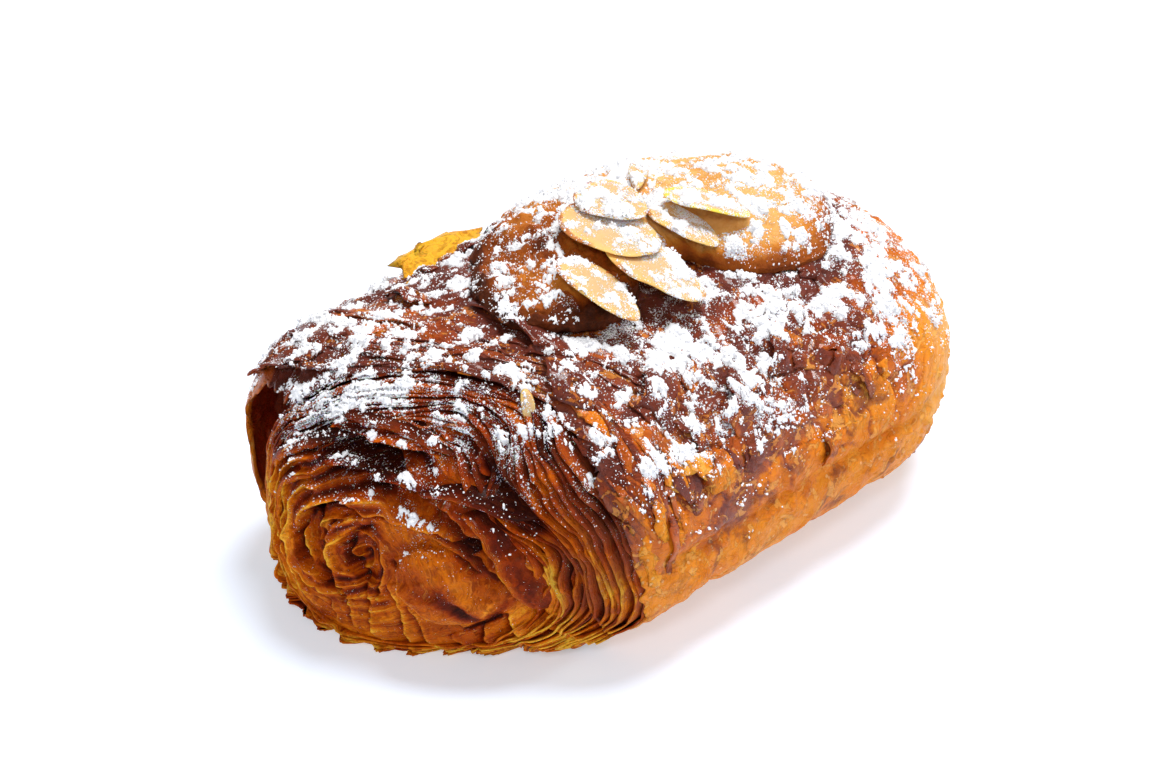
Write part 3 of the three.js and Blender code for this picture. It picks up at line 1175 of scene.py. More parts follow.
@dataclass
class Crust(Maker):
    """The outer crust: one shell in two pieces, its torn rim, loose plates and curls.

    Attributes:
        wall, plate_wall, curl_wall: Thickness at the rim, of the plates and of the amber sheet.
        fold: Share of the shell's rows that lie inside the rim.
        amber: The sheet that stands up on the far side, paled to a painted glow of light shining through
            it.
        curls: The large plates that are listed one by one.
        split: The angles at which the shell is parted in two.
        girth: Length round the roll for each degree.
        overhang: The x beyond which plates keep the shape that the roll has there.
    """

    wall: float = 0.8
    plate_wall: float = 0.24
    curl_wall: float = 0.5
    fold: float = 0.05
    # Its low heat paints the glow of light shining through the thin sheet.
    amber: Plate = Plate(-13.5, 52.0, (9.0, 20.0), -math.pi / 2, 3.9, -0.9)
    curls: tuple[Plate, ...] = (
        Plate(30.0, 60.0, (5.0, 7.0), -math.pi / 2, 2.6, -0.1),
        Plate(-30.0, 70.0, (6.0, 9.0), -math.pi, 2.4, 0.0),
        Plate(-24.0, 98.0, (10.0, 13.0), 3.3, 2.6, 0.15),
        Plate(-28.0, 116.0, (9.0, 11.0), 3.6, 2.4, 0.1),
        Plate(-17.0, 132.0, (10.0, 9.0), 3.9, 2.0, 0.0),
        Plate(-4.0, 146.0, (9.0, 10.0), 4.0, 1.8, -0.1),
        Plate(10.0, 138.0, (8.0, 9.0), 3.7, 1.5, -0.15),
        Plate(-12.0, 160.0, (9.0, 8.0), 3.9, 1.3, -0.2),
        Plate(-47.0, 34.0, (8.0, 7.0), 3.4, 0.6, 0.16),
        Plate(-47.0, 44.0, (9.0, 8.0), 3.3, 0.8, 0.16),
        Plate(-48.5, 55.0, (11.0, 9.0), 3.0, 1.2, 0.2),
        Plate(-48.0, 66.0, (11.0, 8.0), 3.2, 1.3, 0.12),
        Plate(-43.0, 60.0, (12.0, 16.0), 3.4, 1.2, 0.16))
    split: tuple[float, float] = (-25.0, 205.0)
    girth: float = 0.62
    overhang: float = -51.0

    def rim(self, angle: Array) -> Array:
        """The torn edge of the crust at each angle.

        Args:
            angle: Places round the roll, in degrees.

        Returns:
            The x of each.
        """
        spot = circle(angle, 36)
        torn = 1.2 * cloud(spot, 9, 31) + 0.8 * cloud(spot, 2.6, 32, 2)
        tooth = np.abs(((angle * 0.115) % 1) - 0.5) * 2
        teeth = 2.6 * bump(angle, 66, 20) * (0.35 + 0.65 * tooth + 0.3 * cloud(spot, 3, 33))
        under = bump(angle, 262, 60)
        scallops = 1.5 * under * (np.abs(np.sin(angle * 0.3 + 1.6 * cloud(spot, 9, 34, 1))) - 0.5)
        calm = (1 - 0.6 * bump(angle, 14, 30)) * (1 - 0.85 * under)
        return self.form.rim(angle) - teeth - scallops + torn * calm

    def lip(self, x: Array) -> Array:
        """Height of the crust's ragged lower edge on the two long sides."""
        spot = np.stack([x, np.zeros(len(x))], axis=1)
        return 20.0 + 3.6 * cloud(spot, 11, 41) + 1.5 * cloud(spot, 2.4, 42, 2)

    def heat(self, x: Array, angle: Array, points: Array) -> Array:
        """How brown the crust is, from 0 to 1, with painted shade along its cracks and a darker ring round
        the cream that is partly burnt crust and partly painted shadow.

        Args:
            x: Places along the roll.
            angle: Places round it, in degrees.
            points: The same places as points.

        Returns:
            The browning of each.
        """
        z = points[:, 2]
        sides = ramp(x, -36, -27)
        foot = ramp(z, self.lip(x) + 0.3, self.lip(x) - 0.6) * sides
        tone = cells(self.plan(x, angle, 1.6), 8.5, 51)
        cracks = self.cracked(x, angle)
        heat = 0.38 + 0.32 * ramp(z, 26, 46) + 0.1 * ramp(z, 38, 50) + 0.16 * cloud(points, 13, 52)
        # Painted shade: darker along the cracks between the crust's plates, where their steps would shade
        # it.
        heat += 0.22 * (1 - ramp(cracks.edge, 0, 0.09)) * ramp(x, 46, 26) * ramp(z, 22, 27)
        heat += (0.14 + 0.2 * ramp(z, 24, 34)) * (tone.tone - 0.5) * ramp(x, 44, 30)
        heat += 0.05 * np.exp(-(((x - self.form.rim(angle) - 3) / 5) ** 2))
        heat -= 0.34 * ramp(x, 28, 60) + 0.1 * ramp(x, 8, 38)
        # A darker ring just outside the cream's two end pools: partly burnt crust, partly a painted contact
        # shadow under the cream's rim.
        for pool in (self.form.pools[0], self.form.pools[-1]):
            away = np.hypot((x - pool.x) / pool.length, (points[:, 1] - pool.y) / pool.width)
            heat += 0.34 * np.exp(-(((away - 1.08) / 0.12) ** 2)) * ramp(z, 42, 48)
        heat = np.maximum(heat, 0.14 + 0.06 * cloud(points, 9, 54))
        floor = 0.33 + 0.12 * cloud(points, 6, 53) - 0.12 * ramp(x, 26, 56)
        return np.clip(mix(heat, floor, foot), 0.04, 0.97)

    def cracked(self, x: Array, angle: Array) -> Cells:
        """The plates that the crust cracked into, with the lines between them."""
        return cells(self.plan(x, angle, 2.2), 7.5, 64)

    def plan(self, x: Array, angle: Array, warp: float) -> Array:
        """The crust unrolled on a plane, in mm, with its coordinates pushed about.

        Args:
            x: Places along the roll.
            angle: Places round it, in degrees.
            warp: How far they are pushed, in mm.

        Returns:
            Two columns: along and round the roll.
        """
        flat = np.stack([x, angle * self.girth], axis=1)
        push = [warp * lattice(flat, 4.5, 55), warp * lattice(flat, 4.5, 56)]
        return flat + np.stack(push, axis=1)

    def relief(self, x: Array, angle: Array, points: Array) -> Array:
        """How far the crust stands proud, in mm.

        Args:
            x: Places along the roll.
            angle: Places round it, in degrees.
            points: The same places as points.

        Returns:
            The height of each.
        """
        z = points[:, 2]
        broken = ramp(x, 46, 26)
        lumps = 0.75 * cloud(points, 17, 61, 2) + 0.34 * cloud(points, 5.2, 62, 3)
        folds = 0.3 * (1 - np.abs(cloud(points * np.array([1, 0.6, 0.45]), 5.0, 63, 2)) * 4)
        cracks = self.cracked(x, angle)
        split = -0.42 * (1 - ramp(cracks.edge, 0.0, 0.09)) * broken * ramp(z, 22, 27)
        terrace = 0.6 * (cracks.tone - 0.5) * ramp(cracks.edge, 0.0, 0.16) * broken
        over = 0.45 * ramp(z, self.lip(x) - 0.3, self.lip(x) + 0.3) * ramp(x, -36, -27)
        bubbles = cells(self.plan(x, angle, 0.6), 3.1, 65)
        size = 0.16 + 0.26 * bubbles.tone
        dome = np.sqrt(np.clip(1 - (bubbles.near / size) ** 2, 0, 1))
        blister = 0.42 * dome * (bubbles.other > 0.45) * ramp(x, 12, 32) * ramp(x, 62, 50)
        fine = 0.1 * cloud(points, 1.4, 66, 2)
        tuck = -0.9 * ramp(z, 17, 4) * ramp(x, -34, -12)
        return tuck + lumps + folds * broken + (split + terrace) * ramp(z, 18, 24) + over + blister + fine

    def skin(self, u: Array, v: Array, low: float, high: float) -> tuple[Array, Array, Array]:
        """Points of the shell, for the share of its girth from low to high.

        Args:
            u: Share round the girth.
            v: Share from the inside of the rim, over its edge, to the far tip.
            low: First angle.
            high: Last angle.

        Returns:
            The points, and the x and angle they belong to.
        """
        angle = low + (high - low) * u
        edge = self.rim(angle)
        out = np.clip((v - self.fold) / (1 - self.fold), 0, 1)
        inner = np.clip(1 - v / self.fold, 0, 1)
        depth = 5 + 12 * bump(angle, 14, 34)
        x = np.where(v < self.fold, edge + depth * inner,
                     self.form.far_x - (self.form.far_x - edge) * (1 - out) ** 1.6)
        points = self.form.surface(x, angle)
        proud = np.where(v < self.fold, -self.wall, 0.0) + self.relief(x, angle, points)
        fade = ramp(x, self.form.far_x, self.form.far_x - 3)
        points = points + self.form.normal(x, angle) * (proud * (0.3 + 0.7 * fade))[:, None]
        points[:, 2] = np.maximum(points[:, 2], 0)
        return points, x, angle

    def shell(self, name: str, columns: int, rows: int, low: float, high: float) -> bpy.types.Object:
        """One part of the shell, from one angle to another.

        Args:
            name: The piece's name.
            columns: Faces round it.
            rows: Faces along it.
            low: First angle.
            high: Last angle.

        Returns:
            The piece.
        """
        mesh = grid_mesh(name, columns, rows, lambda u, v: self.skin(u, v, low, high)[0])
        points, x, angle = self.skin(painted(mesh, "u"), painted(mesh, "v"), low, high)
        heat = self.heat(x, angle, points)
        hidden = painted(mesh, "v") < 0.9 * self.fold
        # The inside of the rim's fold is painted dark brown: painted shade of its shadowed hollow.
        paint(mesh, "bake", np.where(hidden, 0.72 + 0.12 * cloud(points, 4, 57), heat))
        up = self.form.normal(x, angle)[:, 2]
        paint(mesh, "dust", np.where(hidden, 0, self.sugar.dust(points, up)))
        paint(mesh, "inside", np.where(hidden, 1.0, 0.0))
        weld(mesh)
        return self.shop.piece(name, mesh, BakedCrust(), "crust")

    def plates(self, name: str, count: int, seed: int) -> None:
        """Thin torn plates of crust that have lifted along one edge.

        Args:
            name: The piece's name.
            count: How many plates are scattered, besides those listed.
            seed: Which scatter.
        """
        rng = np.random.default_rng(seed)
        made = []
        for number in range(count):
            near = rng.random() < 0.55
            angle0 = rng.uniform(30, 172) if near else rng.uniform(40, 172)
            if near:
                x0 = float(self.form.rim(np.array([angle0]))[0]) + rng.uniform(2.0, 17)
                size, turn = (rng.uniform(2.5, 5), rng.uniform(6, 18)), rng.normal(180, 9)
            else:
                x0 = rng.uniform(-20, 34)
                size, turn = (rng.uniform(3, 8), rng.uniform(3, 8)), rng.normal(215, 60)
            torn = Plate(x0, angle0, size, math.radians(turn), rng.uniform(0.15, 0.6 if near else 1.3),
                         rng.uniform(-0.36, 0.16), float(near))
            made.append(self.plate(number, torn))
        made += [self.plate(count + k, curl) for k, curl in enumerate(self.curls)]
        thicken(self.shop.piece(name, join(name, made), BakedCrust(), "crust"), self.plate_wall)

    def plate(self, number: int, plate: Plate) -> bpy.types.Mesh:
        """One torn plate that follows the crust; its number seeds its outline.

        Args:
            number: Which plate.
            plate: Its place and sizes.

        Returns:
            Its mesh, not yet thickened.
        """
        size, turn, angle0 = plate.size, plate.turn, plate.angle
        ragged = 101 + number
        rim0 = float(self.form.rim(np.array([angle0]))[0])
        skew = 0.35 * math.sin(7.3 * number)

        def place(u: Array, v: Array) -> Array:
            """Points of the plate's middle surface.

            Args:
                u: Share towards the lifted edge.
                v: Share of the width.

            Returns:
                Points in mm.
            """
            torn = np.stack([u * size[0] * 1.3, v * size[1] * 1.3], axis=1)
            p = (u - 0.5) * size[0] + 0.12 * size[0] * lattice(torn + number * 9, 2.6, ragged)
            p += 0.5 * u * lattice(torn + number * 9, 0.9, ragged + 2)
            q = (v - 0.5) * size[1] * (1.15 - 0.3 * u) + skew * p
            q += 0.16 * size[1] * lattice(torn + number * 9 + 50, 2.8, ragged + 1)
            x = plate.x + p * math.cos(turn) - q * math.sin(turn)
            angle = angle0 + (p * math.sin(turn) + q * math.cos(turn)) / self.girth
            x = x + plate.follow * (self.form.rim(angle) - rim0)
            held = np.maximum(x, self.overhang)
            base = self.form.surface(held, angle)
            base[:, 0] = x
            sides = 1 - 0.5 * np.abs(2 * v - 1) ** 2
            up = -0.5 + (0.5 + plate.lift) * ramp(u, 0.0, 0.8) * sides
            up += 0.14 * cloud(base, 2.2, 91, 2) + self.relief(x, angle, base) * 0.85
            return base + self.form.normal(held, angle) * up[:, None]

        mesh = grid_mesh("plate", 12, 10, place)
        points = coordinates(mesh) / MM
        angle = np.full(len(points), angle0)
        brown = self.heat(points[:, 0], angle, points) + plate.heat + 0.12 * painted(mesh, "u")
        paint(mesh, "bake", np.clip(brown, 0.05, 0.84))
        up = np.abs(normals(mesh)[:, 2])
        paint(mesh, "dust", self.sugar.dust(points, up))
        return mesh

    def curl(self) -> None:
        """The amber sheet that stands up on the far side; no sugar stuck to it."""
        piece = self.shop.piece("amber_curl", self.plate(1, self.amber), DoughSheet(), "crust")
        paint(piece.data, "dust", np.zeros(len(piece.data.vertices)))
        thicken(piece, self.curl_wall)

    def build(self) -> None:
        """Makes the shell and its plates."""
        crown = self.shell("crust_crown", 300, 300, *self.split)
        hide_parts("pastry_roll")
        self.shell("crust_foot", 112, 300, self.split[1], self.split[0] + 360)
        self.plates("crust_plates", 165, 7)


def thicken(piece: bpy.types.Object, wall: float) -> None:
    """Gives an open sheet a wall, in mm, half to each side.

    Args:
        piece: The sheet.
        wall: Its thickness.
    """
    shell = piece.modifiers.new("wall", "SOLIDIFY")
    shell.thickness = wall * MM
    shell.offset = 0.0


# ---- the layered end ----
@dataclass(frozen=True)
class Petal:
    """A broad sheet that has come loose: the line it follows in the cross plane, and its width."""

    line: Line
    width: float
    lift: float = 1.4
    heat: float = 0.0


@dataclass(frozen=True)
class Fold:
    """A fold of soft dough: a sheet on one side of a line, which ends there in a step.

    Attributes:
        line: The free edge, in the cross plane.
        side: 1 where the sheet lies on the line's left, -1 on its right.
        width: How far the sheet swells behind its edge.
        rise: Height of the step.
        heat: How much browner the sheet is.
    """

    line: Line
    side: int
    width: float
    rise: float
    heat: float = 0.0

    def shape(self, y: Array, z: Array) -> tuple[Array, Array]:
        """The fold's height in mm at places of the cross plane, and how much browner it is, with painted
        shade in the gap beyond its step and a painted highlight along its edge.

        Args:
            y: Their y.
            z: Their z.

        Returns:
            The height, and the browning with its painted shade and highlight, of each.
        """
        here = np.stack([y, z], axis=1)
        away, along = trace(y, z, self.line)
        away = self.side * away + 0.4 * cloud(here, 4.5, 171, 2) + 0.16 * cloud(here, 1.2, 172, 2)
        ends = np.sqrt(np.clip(1 - np.abs(2 * along - 1) ** 5, 0, 1))
        sheet = ramp(away, -0.2, 0.15) * np.exp(-((np.maximum(away, 0) / self.width) ** 2))
        gap = np.exp(-(((away + 0.5) / 0.45) ** 2))
        edge = np.exp(-(((away - 0.3) / 0.35) ** 2))
        rise = self.rise * (0.8 + 0.5 * cloud(here, 3.5, 173, 2))
        # Colour: the sheet's own heat, painted shade in the gap beyond its step, and a painted highlight
        # along its edge.
        return ends * (rise * sheet - 0.8 * gap), ends * (self.heat * sheet + 0.42 * gap - 0.2 * edge)


@dataclass
class LayeredEnd(Maker):
    """The open end of the roll: a coil of thin sheets round folds of soft dough.

    The lines and places are points of the cross plane, y then z.

    Attributes:
        turns: How many turns of thin sheet lie inside the rim.
        sheet_pitch, fold_pitch: Share of the way to the eye that one turn takes, for the sheets
            and for the soft dough.
        wall, depth: Thickness of a sheet, and how far it reaches in.
        start: The angle at which the coil starts.
        inner_seam, outer_seam, hollow: Lines along which the dough is pressed in.
        lobe, flat, cavity: Middles of the swollen fold, of a flat place and of a deep gap.
        folds: The folds of soft dough.
        petals: The broad sheets that have come loose.
    """

    turns: int = 9
    sheet_pitch: float = 0.0275
    fold_pitch: float = 0.098
    wall: float = 0.28
    depth: float = 6.0
    start: float = 60.0
    inner_seam: Line = ((6.0, 34.6), (-1.3, 35.5), (-8.7, 33.2), (-14.9, 30.5), (-17.9, 26.5),
                        (-22.6, 19.8), (-24.6, 12.0))
    outer_seam: Line = ((-13.0, 44.0), (-22.3, 35.5), (-27.1, 29.7), (-30.8, 21.5), (-30.9, 15.4),
                        (-30.9, 7.0))
    hollow: Line = ((9.6, 28.0), (8.8, 23.0), (8.4, 17.0), (6.0, 11.6))
    lobe: tuple[float, float] = (-14.6, 18.8)
    flat: tuple[float, float] = (-27.5, 16.5)
    cavity: tuple[float, float] = (0.8, 39.6)
    folds: tuple[Fold, ...] = (
        Fold(((2.6, 30.9), (-1.6, 29.4), (-5.0, 30.0), (-8.7, 29.8), (-13.0, 28.9), (-16.3, 26.9),
              (-18.8, 24.7), (-22.4, 20.4)), -1, 4.5, 1.9),
        Fold(((8.5, 37.0), (2.7, 36.7), (-5.0, 36.6), (-9.3, 35.2), (-14.6, 32.8), (-18.4, 28.6)),
             -1, 2.4, 2.3, 0.26),
        Fold(((-5.6, 22.2), (-7.2, 19.7), (-9.0, 16.4), (-11.5, 13.2), (-15.0, 9.0), (-19.2, 12.6),
              (-22.0, 17.6)), -1, 3.0, 1.4),
        Fold(((-1.7, 27.5), (0.9, 26.2), (2.7, 23.7), (2.9, 20.4), (1.7, 17.4), (-0.2, 13.6)),
             1, 1.5, 1.5),
        Fold(((0.6, 28.4), (3.6, 26.6), (5.1, 22.8), (5.0, 19.2), (4.0, 16.0), (1.6, 10.6)),
             -1, 1.4, 1.9),
        Fold(((2.6, 32.0), (6.9, 29.7), (10.6, 25.4), (12.2, 20.8), (11.2, 16.8), (8.6, 13.2),
              (4.3, 8.8)), 1, 2.6, 2.5),
        Fold(((-2.2, 27.6), (-3.7, 24.3), (-4.0, 20.8), (-3.6, 16.5), (-2.0, 12.0)), -1, 1.6, 1.5),
        Fold(((10.2, 26.6), (8.0, 24.6), (7.4, 21.4), (8.6, 18.4)), 1, 0.8, 1.0),
        Fold(((9.0, 20.0), (7.4, 17.6), (6.4, 14.0)), 1, 0.8, 1.1),
        Fold(((4.0, 13.0), (2.8, 9.4), (3.2, 4.0)), -1, 1.7, 1.4),
        Fold(((8.8, 11.6), (6.8, 8.6), (6.2, 3.6)), -1, 1.7, 1.3),
        Fold(((0.4, 14.4), (-1.1, 11.0), (-0.4, 3.2)), -1, 2.2, 1.5),
        Fold(((-4.6, 16.8), (-6.0, 11.3), (-5.4, 2.6)), -1, 1.5, 1.6),
        Fold(((-7.2, 12.6), (-8.4, 8.1), (-8.4, 2.6)), -1, 2.4, 1.3),
        Fold(((-12.6, 7.0), (-14.0, 5.0), (-13.4, 2.0)), -1, 1.8, 1.3),
        Fold(((-17.6, 10.4), (-17.0, 6.6), (-18.4, 2.6)), -1, 2.0, 1.5),
        Fold(((-21.8, 13.6), (-21.4, 9.0), (-23.0, 4.2)), -1, 2.2, 1.2),
        Fold(((-24.6, 9.6), (-26.4, 7.6), (-25.6, 4.0)), -1, 1.5, 1.2),
        Fold(((16.0, 33.6), (8.0, 37.4), (0.0, 38.2), (-6.0, 38.0)), 1, 1.6, 1.0, 0.15),
        Fold(((18.0, 36.0), (9.0, 41.6), (0.0, 42.4), (-7.0, 42.0)), -1, 1.8, 1.6),
        Fold(((-7.0, 42.6), (-13.6, 41.6), (-20.0, 37.2), (-24.0, 32.0), (-27.0, 25.0)), -1, 2.0, 1.3, 0.2),
        Fold(((19.5, 29.0), (19.8, 20.0), (16.0, 12.0), (9.0, 7.4)), -1, 2.4, 1.0),
    )
    petals: tuple[Petal, ...] = (
        Petal(((-14.6, 33.6), (-19.6, 32.4), (-22.0, 28.5), (-24.0, 22.6), (-26.6, 14.0)), 4.4, 2.0, -0.1),
        Petal(((-8.5, 29.4), (-13.9, 28.0), (-18.0, 25.0), (-21.8, 19.0)), 3.0, 1.0, -0.05),
        Petal(((-7.5, 35.2), (-14.0, 37.0), (-19.5, 36.4), (-24.5, 31.5)), 4.0, 1.5, 0.06),
        Petal(((18.0, 14.0), (19.0, 23.0), (14.6, 31.0), (8.0, 34.4)), 3.0, 0.9),
        Petal(((22.0, 27.0), (18.0, 34.0), (10.0, 39.4), (2.0, 42.8)), 3.2, 1.1, 0.1),
        Petal(((10.0, 43.4), (1.0, 44.8), (-7.0, 44.2), (-14.0, 41.4)), 2.8, 1.0, 0.1),
    )

    def share(self, turn: Array) -> Array:
        """Scale of the coil after a number of turns from the rim."""
        return 0.985 - self.sheet_pitch * turn

    def warp(self, way: Array, scale: Array) -> Array:
        """How the coil's turns are pushed in or out, by direction from the eye in degrees.

        Args:
            way: Directions from the eye.
            scale: Shares of the way out.

        Returns:
            The push, as a share of the scale.
        """
        push = 0.09 * bump(way, 113, 15) - 0.13 * bump(way, 149, 17) - 0.03 * bump(way, 175, 20)
        hollow = -0.24 * bump(way, 14, 36) * ramp(scale, 0.3, 0.9)
        return push * ramp(scale, 0.2, 0.5) * ramp(scale, 1.0, 0.84) + hollow

    def stand(self, y: Array, z: Array) -> Array:
        """How far the sheets stand out past the rounded end, in mm.

        Args:
            y: Places in the cross plane.
            z: Their z.

        Returns:
            The distance at each.
        """
        return (0.9 * knoll(y, z, self.lobe, (8.5, 7.5)) + 1.1 * ramp(z, 12, 3)
                - 2.6 * strand(y, z, self.inner_seam, 1.3) - 2.2 * strand(y, z, self.outer_seam, 1.2)
                - 2.4 * strand(y, z, self.hollow, 2.2)
                - 6.5 * knoll(y, z, self.cavity, (7.5, 1.7), -4)
                - 3.4 * knoll(y, z, (0.0, 20.8), (2.0, 4.8), 4)
                - 1.4 * knoll(y, z, self.flat, (3.5, 6.5)))

    def heat(self, points: Array) -> Array:
        """How brown the dough is, from 0 to 1, with painted shade in its creases and hollows.

        Args:
            points: Points in mm.

        Returns:
            The browning of each.
        """
        x, y, z = points.T
        way = np.degrees(np.arctan2(z - self.form.eye[1], y - self.form.eye[0]))
        heat = 0.4 + 0.18 * ramp(z, 28, 42) + 0.3 * cloud(points, 7, 71)
        # Darker along the pressed-in seams and the hollow, in the eye's hole and in the deep gap: painted
        # shade in these creases and hollows, with the seams partly their own caramel brown.
        heat += 0.17 * strand(y, z, self.inner_seam, 1.3) + 0.3 * strand(y, z, self.outer_seam, 1.3)
        heat += 0.2 * strand(y, z, self.hollow, 1.8) + 0.3 * knoll(y, z, (-0.4, 20.8), (1.8, 4.4), 4)
        outside = ramp(-y, 25, 33) * ramp(z, 3, 10) * bump(way, 170, 45)
        heat += 0.04 * outside + 0.35 * knoll(y, z, self.cavity, (8.0, 2.6), -4)
        heat -= 0.2 * knoll(y, z, (-26.0, 11.0), (6.0, 8.0))
        heat += 0.55 * knoll(y, z, (-17.0, 15.0), (4.2, 1.7), 52) + 0.16 * knoll(y, z, self.lobe, (8, 8))
        heat += 0.4 * knoll(y, z, (-24.3, 32.0), (1.6, 2.2)) + 0.06 * ramp(z, 10, 2)
        return heat

    def coil(self, name: str, first: int, last: int) -> None:
        """Makes the turns of the coil from one number up to another, as one piece."""
        mesh = join(name, [self.turn(n, ply) for n in range(first, last) for ply in (0, 1)])
        thicken(self.shop.piece(name, mesh, DoughSheet(), "crust"), self.wall)

    def turn(self, number: int, ply: int) -> bpy.types.Mesh:
        """One turn of the coil, counted from the rim, and one of its two plies.

        Args:
            number: Which turn.
            ply: Which of its two plies, 0 or 1.

        Returns:
            Its mesh, not yet thickened.
        """
        scale = float(self.share(np.array([number + 0.5]))[0])
        columns = max(64, int(235 * scale / 0.62))
        mesh = grid_mesh("turn", columns, 11, lambda u, v: self.sheet(number, ply, u, v))
        ring = painted(mesh, "u") * 5 + (number + 0.45 * ply) * 5
        ring = np.stack([ring, np.zeros(len(ring))], axis=1)
        height = coordinates(mesh)[:, 2] / MM
        under = 0.22 * ramp(height, 16, 26) if number == 0 else 0.0
        return self.colour(mesh, under + 0.22 * lattice(ring, 1.0, 89) + 0.1 * lattice(ring, 0.31, 90))

    def colour(self, mesh: bpy.types.Mesh, extra: Array | float) -> bpy.types.Mesh:
        """Paints a sheet: painted shade at its root, and along its free edge a gold glow low down, painted
        light through the thin dough, and crisp brown higher up.

        Args:
            mesh: The sheet.
            extra: How much browner it is than the dough round it.

        Returns:
            The same mesh.
        """
        points = coordinates(mesh) / MM
        v = painted(mesh, "v")
        # Lower free edges are paler gold, painted light shining through the thin dough, and upper ones
        # browner as baked; the root is darker, painted shade deep between the sheets.
        crisp = ramp(points[:, 2], 22, 42) - 0.55
        tip = 0.2 * ramp(v, 0.86, 1.0) * (crisp + 0.7 * cloud(points, 3.0, 72))
        root = 0.46 * ramp(v, 0.9, 0.45)
        paint(mesh, "bake", np.clip(self.heat(points) + tip + root + extra, 0.03, 0.99))
        up = 0.35 + 0.65 * ramp(v, 0.5, 1.0)
        caught = (0.45 + 0.45 * ramp(v, 0.7, 1.0)) * ramp(points[:, 2], 4, 26)
        paint(mesh, "mauve", ramp(-points[:, 1], 25, 32) * ramp(points[:, 2], 5, 15)
              + 0.5 * ramp(points[:, 2], 33, 42))
        paint(mesh, "dust", 0.3 + caught * self.sugar.dust(points, up))
        return mesh

    def sheet(self, number: int, ply: int, u: Array, v: Array) -> Array:
        """Points of one turn: u runs round it, and v from its root to its free edge.

        Args:
            number: Which turn.
            ply: Which of its two plies.
            u: Share of the turn.
            v: Share from root to edge.

        Returns:
            Points in mm.
        """
        turn = number + u + 0.42 * ply
        angle = self.start + 360 * u
        scale = self.share(turn)
        y1, z1 = self.form.contour(angle, np.ones(len(u)))
        reach = np.hypot(y1 - self.form.eye[0], z1 - self.form.eye[1])
        way = np.degrees(np.arctan2(z1 - self.form.eye[1], y1 - self.form.eye[0]))
        scale = scale * (1 + self.warp(way, scale))
        y, z = self.form.contour(angle, scale)
        loose = np.stack([y, z, turn * 9], axis=1)
        close = np.stack([y, z, turn * 1.6], axis=1)
        open_gap = ramp(turn, 5.5, 8)
        clump = (0.3 + 0.4 * open_gap) * np.sin(math.tau * turn / 2.6 + 3.5 * lattice(close, 14, 81))
        sway = 1.1 * cloud(close, 13, 82, 2) + clump
        curl = (0.2 + 0.7 * open_gap) * cloud(loose, 8, 83, 2) + 0.16 * cloud(loose, 2.6, 84, 1)
        pleat = ramp(z, 13, 4) * ramp(turn, 9, 3)
        curl += 1.2 * pleat * np.sin(math.tau * y / 5.2 + 4 * lattice(close, 9, 88))
        shift = (sway + curl * v ** 2.5) / np.maximum(reach, 12)
        scale = np.clip(scale + shift * ramp(scale, 0.0, 0.3), 0.012, 0.985)
        y, z = self.form.contour(angle, scale)
        frill = (0.4 + 0.8 * open_gap) * cloud(loose, 8, 85, 2) + 0.26 * cloud(loose, 2.8, 86, 1)
        frill += 2.0 * pleat * np.sin(math.tau * y / 4.9 + 5 * lattice(close, 9, 89))
        tear = -(0.6 + 1.3 * open_gap) * ramp(lattice(loose, 4.2, 87), 0.4, 0.75)
        edge = self.form.end_face(y, z) - self.stand(y, z) - (frill + tear)
        x = edge + self.depth * (1 - v)
        return np.stack([x, y, np.maximum(z, 0.25)], axis=1)

    def petal(self, number: int, petal: Petal) -> bpy.types.Mesh:
        """A broad loose sheet, rooted along one side of its line and free along the other.

        Args:
            number: Which sheet.
            petal: Its line and sizes.

        Returns:
            Its mesh, not yet thickened.
        """
        line = np.array(petal.line)
        gaps = np.linalg.norm(np.diff(line, axis=0), axis=1)
        total = gaps.sum()
        stops = np.concatenate([[0], np.cumsum(gaps)]) / total
        centre = np.array(self.form.eye)

        def place(u: Array, v: Array) -> Array:
            """Points of the sheet: u runs along its line, and v from its root to its edge.

            Args:
                u: Share of the line.
                v: Share from root to edge.

            Returns:
                Points in mm.
            """
            soft = [sum(np.interp(np.clip(u + d, 0, 1), stops, line[:, k]) for d in (-0.1, 0, 0.1)) / 3
                    for k in (0, 1)]
            middle = np.stack(soft, axis=1)
            out = middle - centre
            out /= np.linalg.norm(out, axis=1, keepdims=True)
            key = np.stack([u * total, v * 6.0, np.full(len(u), number * 37.0)], axis=1)
            ends = np.sqrt(np.clip(1 - np.abs(2 * u - 1) ** 3, 0.02, 1))
            side = (0.62 - v) * petal.width * ends
            side += 0.8 * cloud(key * np.array([1, 0.2, 1]), 5, 91, 2)
            side += 0.3 * v * cloud(key, 1.8, 92, 2)
            spot = middle + out * side[:, None]
            y, z = spot.T
            up = -2.4 + (2.4 + petal.lift) * ramp(v, 0.0, 0.75) * ends
            up += v * (0.7 * cloud(key, 4.5, 93, 2) + 0.3 * cloud(key, 1.6, 94, 2))
            up -= 0.7 * ramp(v, 0.8, 1.0)
            x = self.form.end_face(y, np.maximum(z, 0.3)) - self.stand(y, z) * 0.5 - up
            return np.stack([x, y, np.maximum(z, 0.3)], axis=1)

        columns = int(total / 0.45)
        mesh = grid_mesh("petal", columns, max(8, int(petal.width / 0.35)), place)
        return self.colour(mesh, petal.heat - 0.05)

    def turning(self, angle: Array, scale: Array, here: Array) -> Array:
        """Which turn of the soft dough's coil a place lies in."""
        push = 0.42 * cloud(here, 10, 73, 2) + 0.12 * cloud(here, 2.6, 74, 2)
        return (1 - scale) / self.fold_pitch + angle / 360 + push

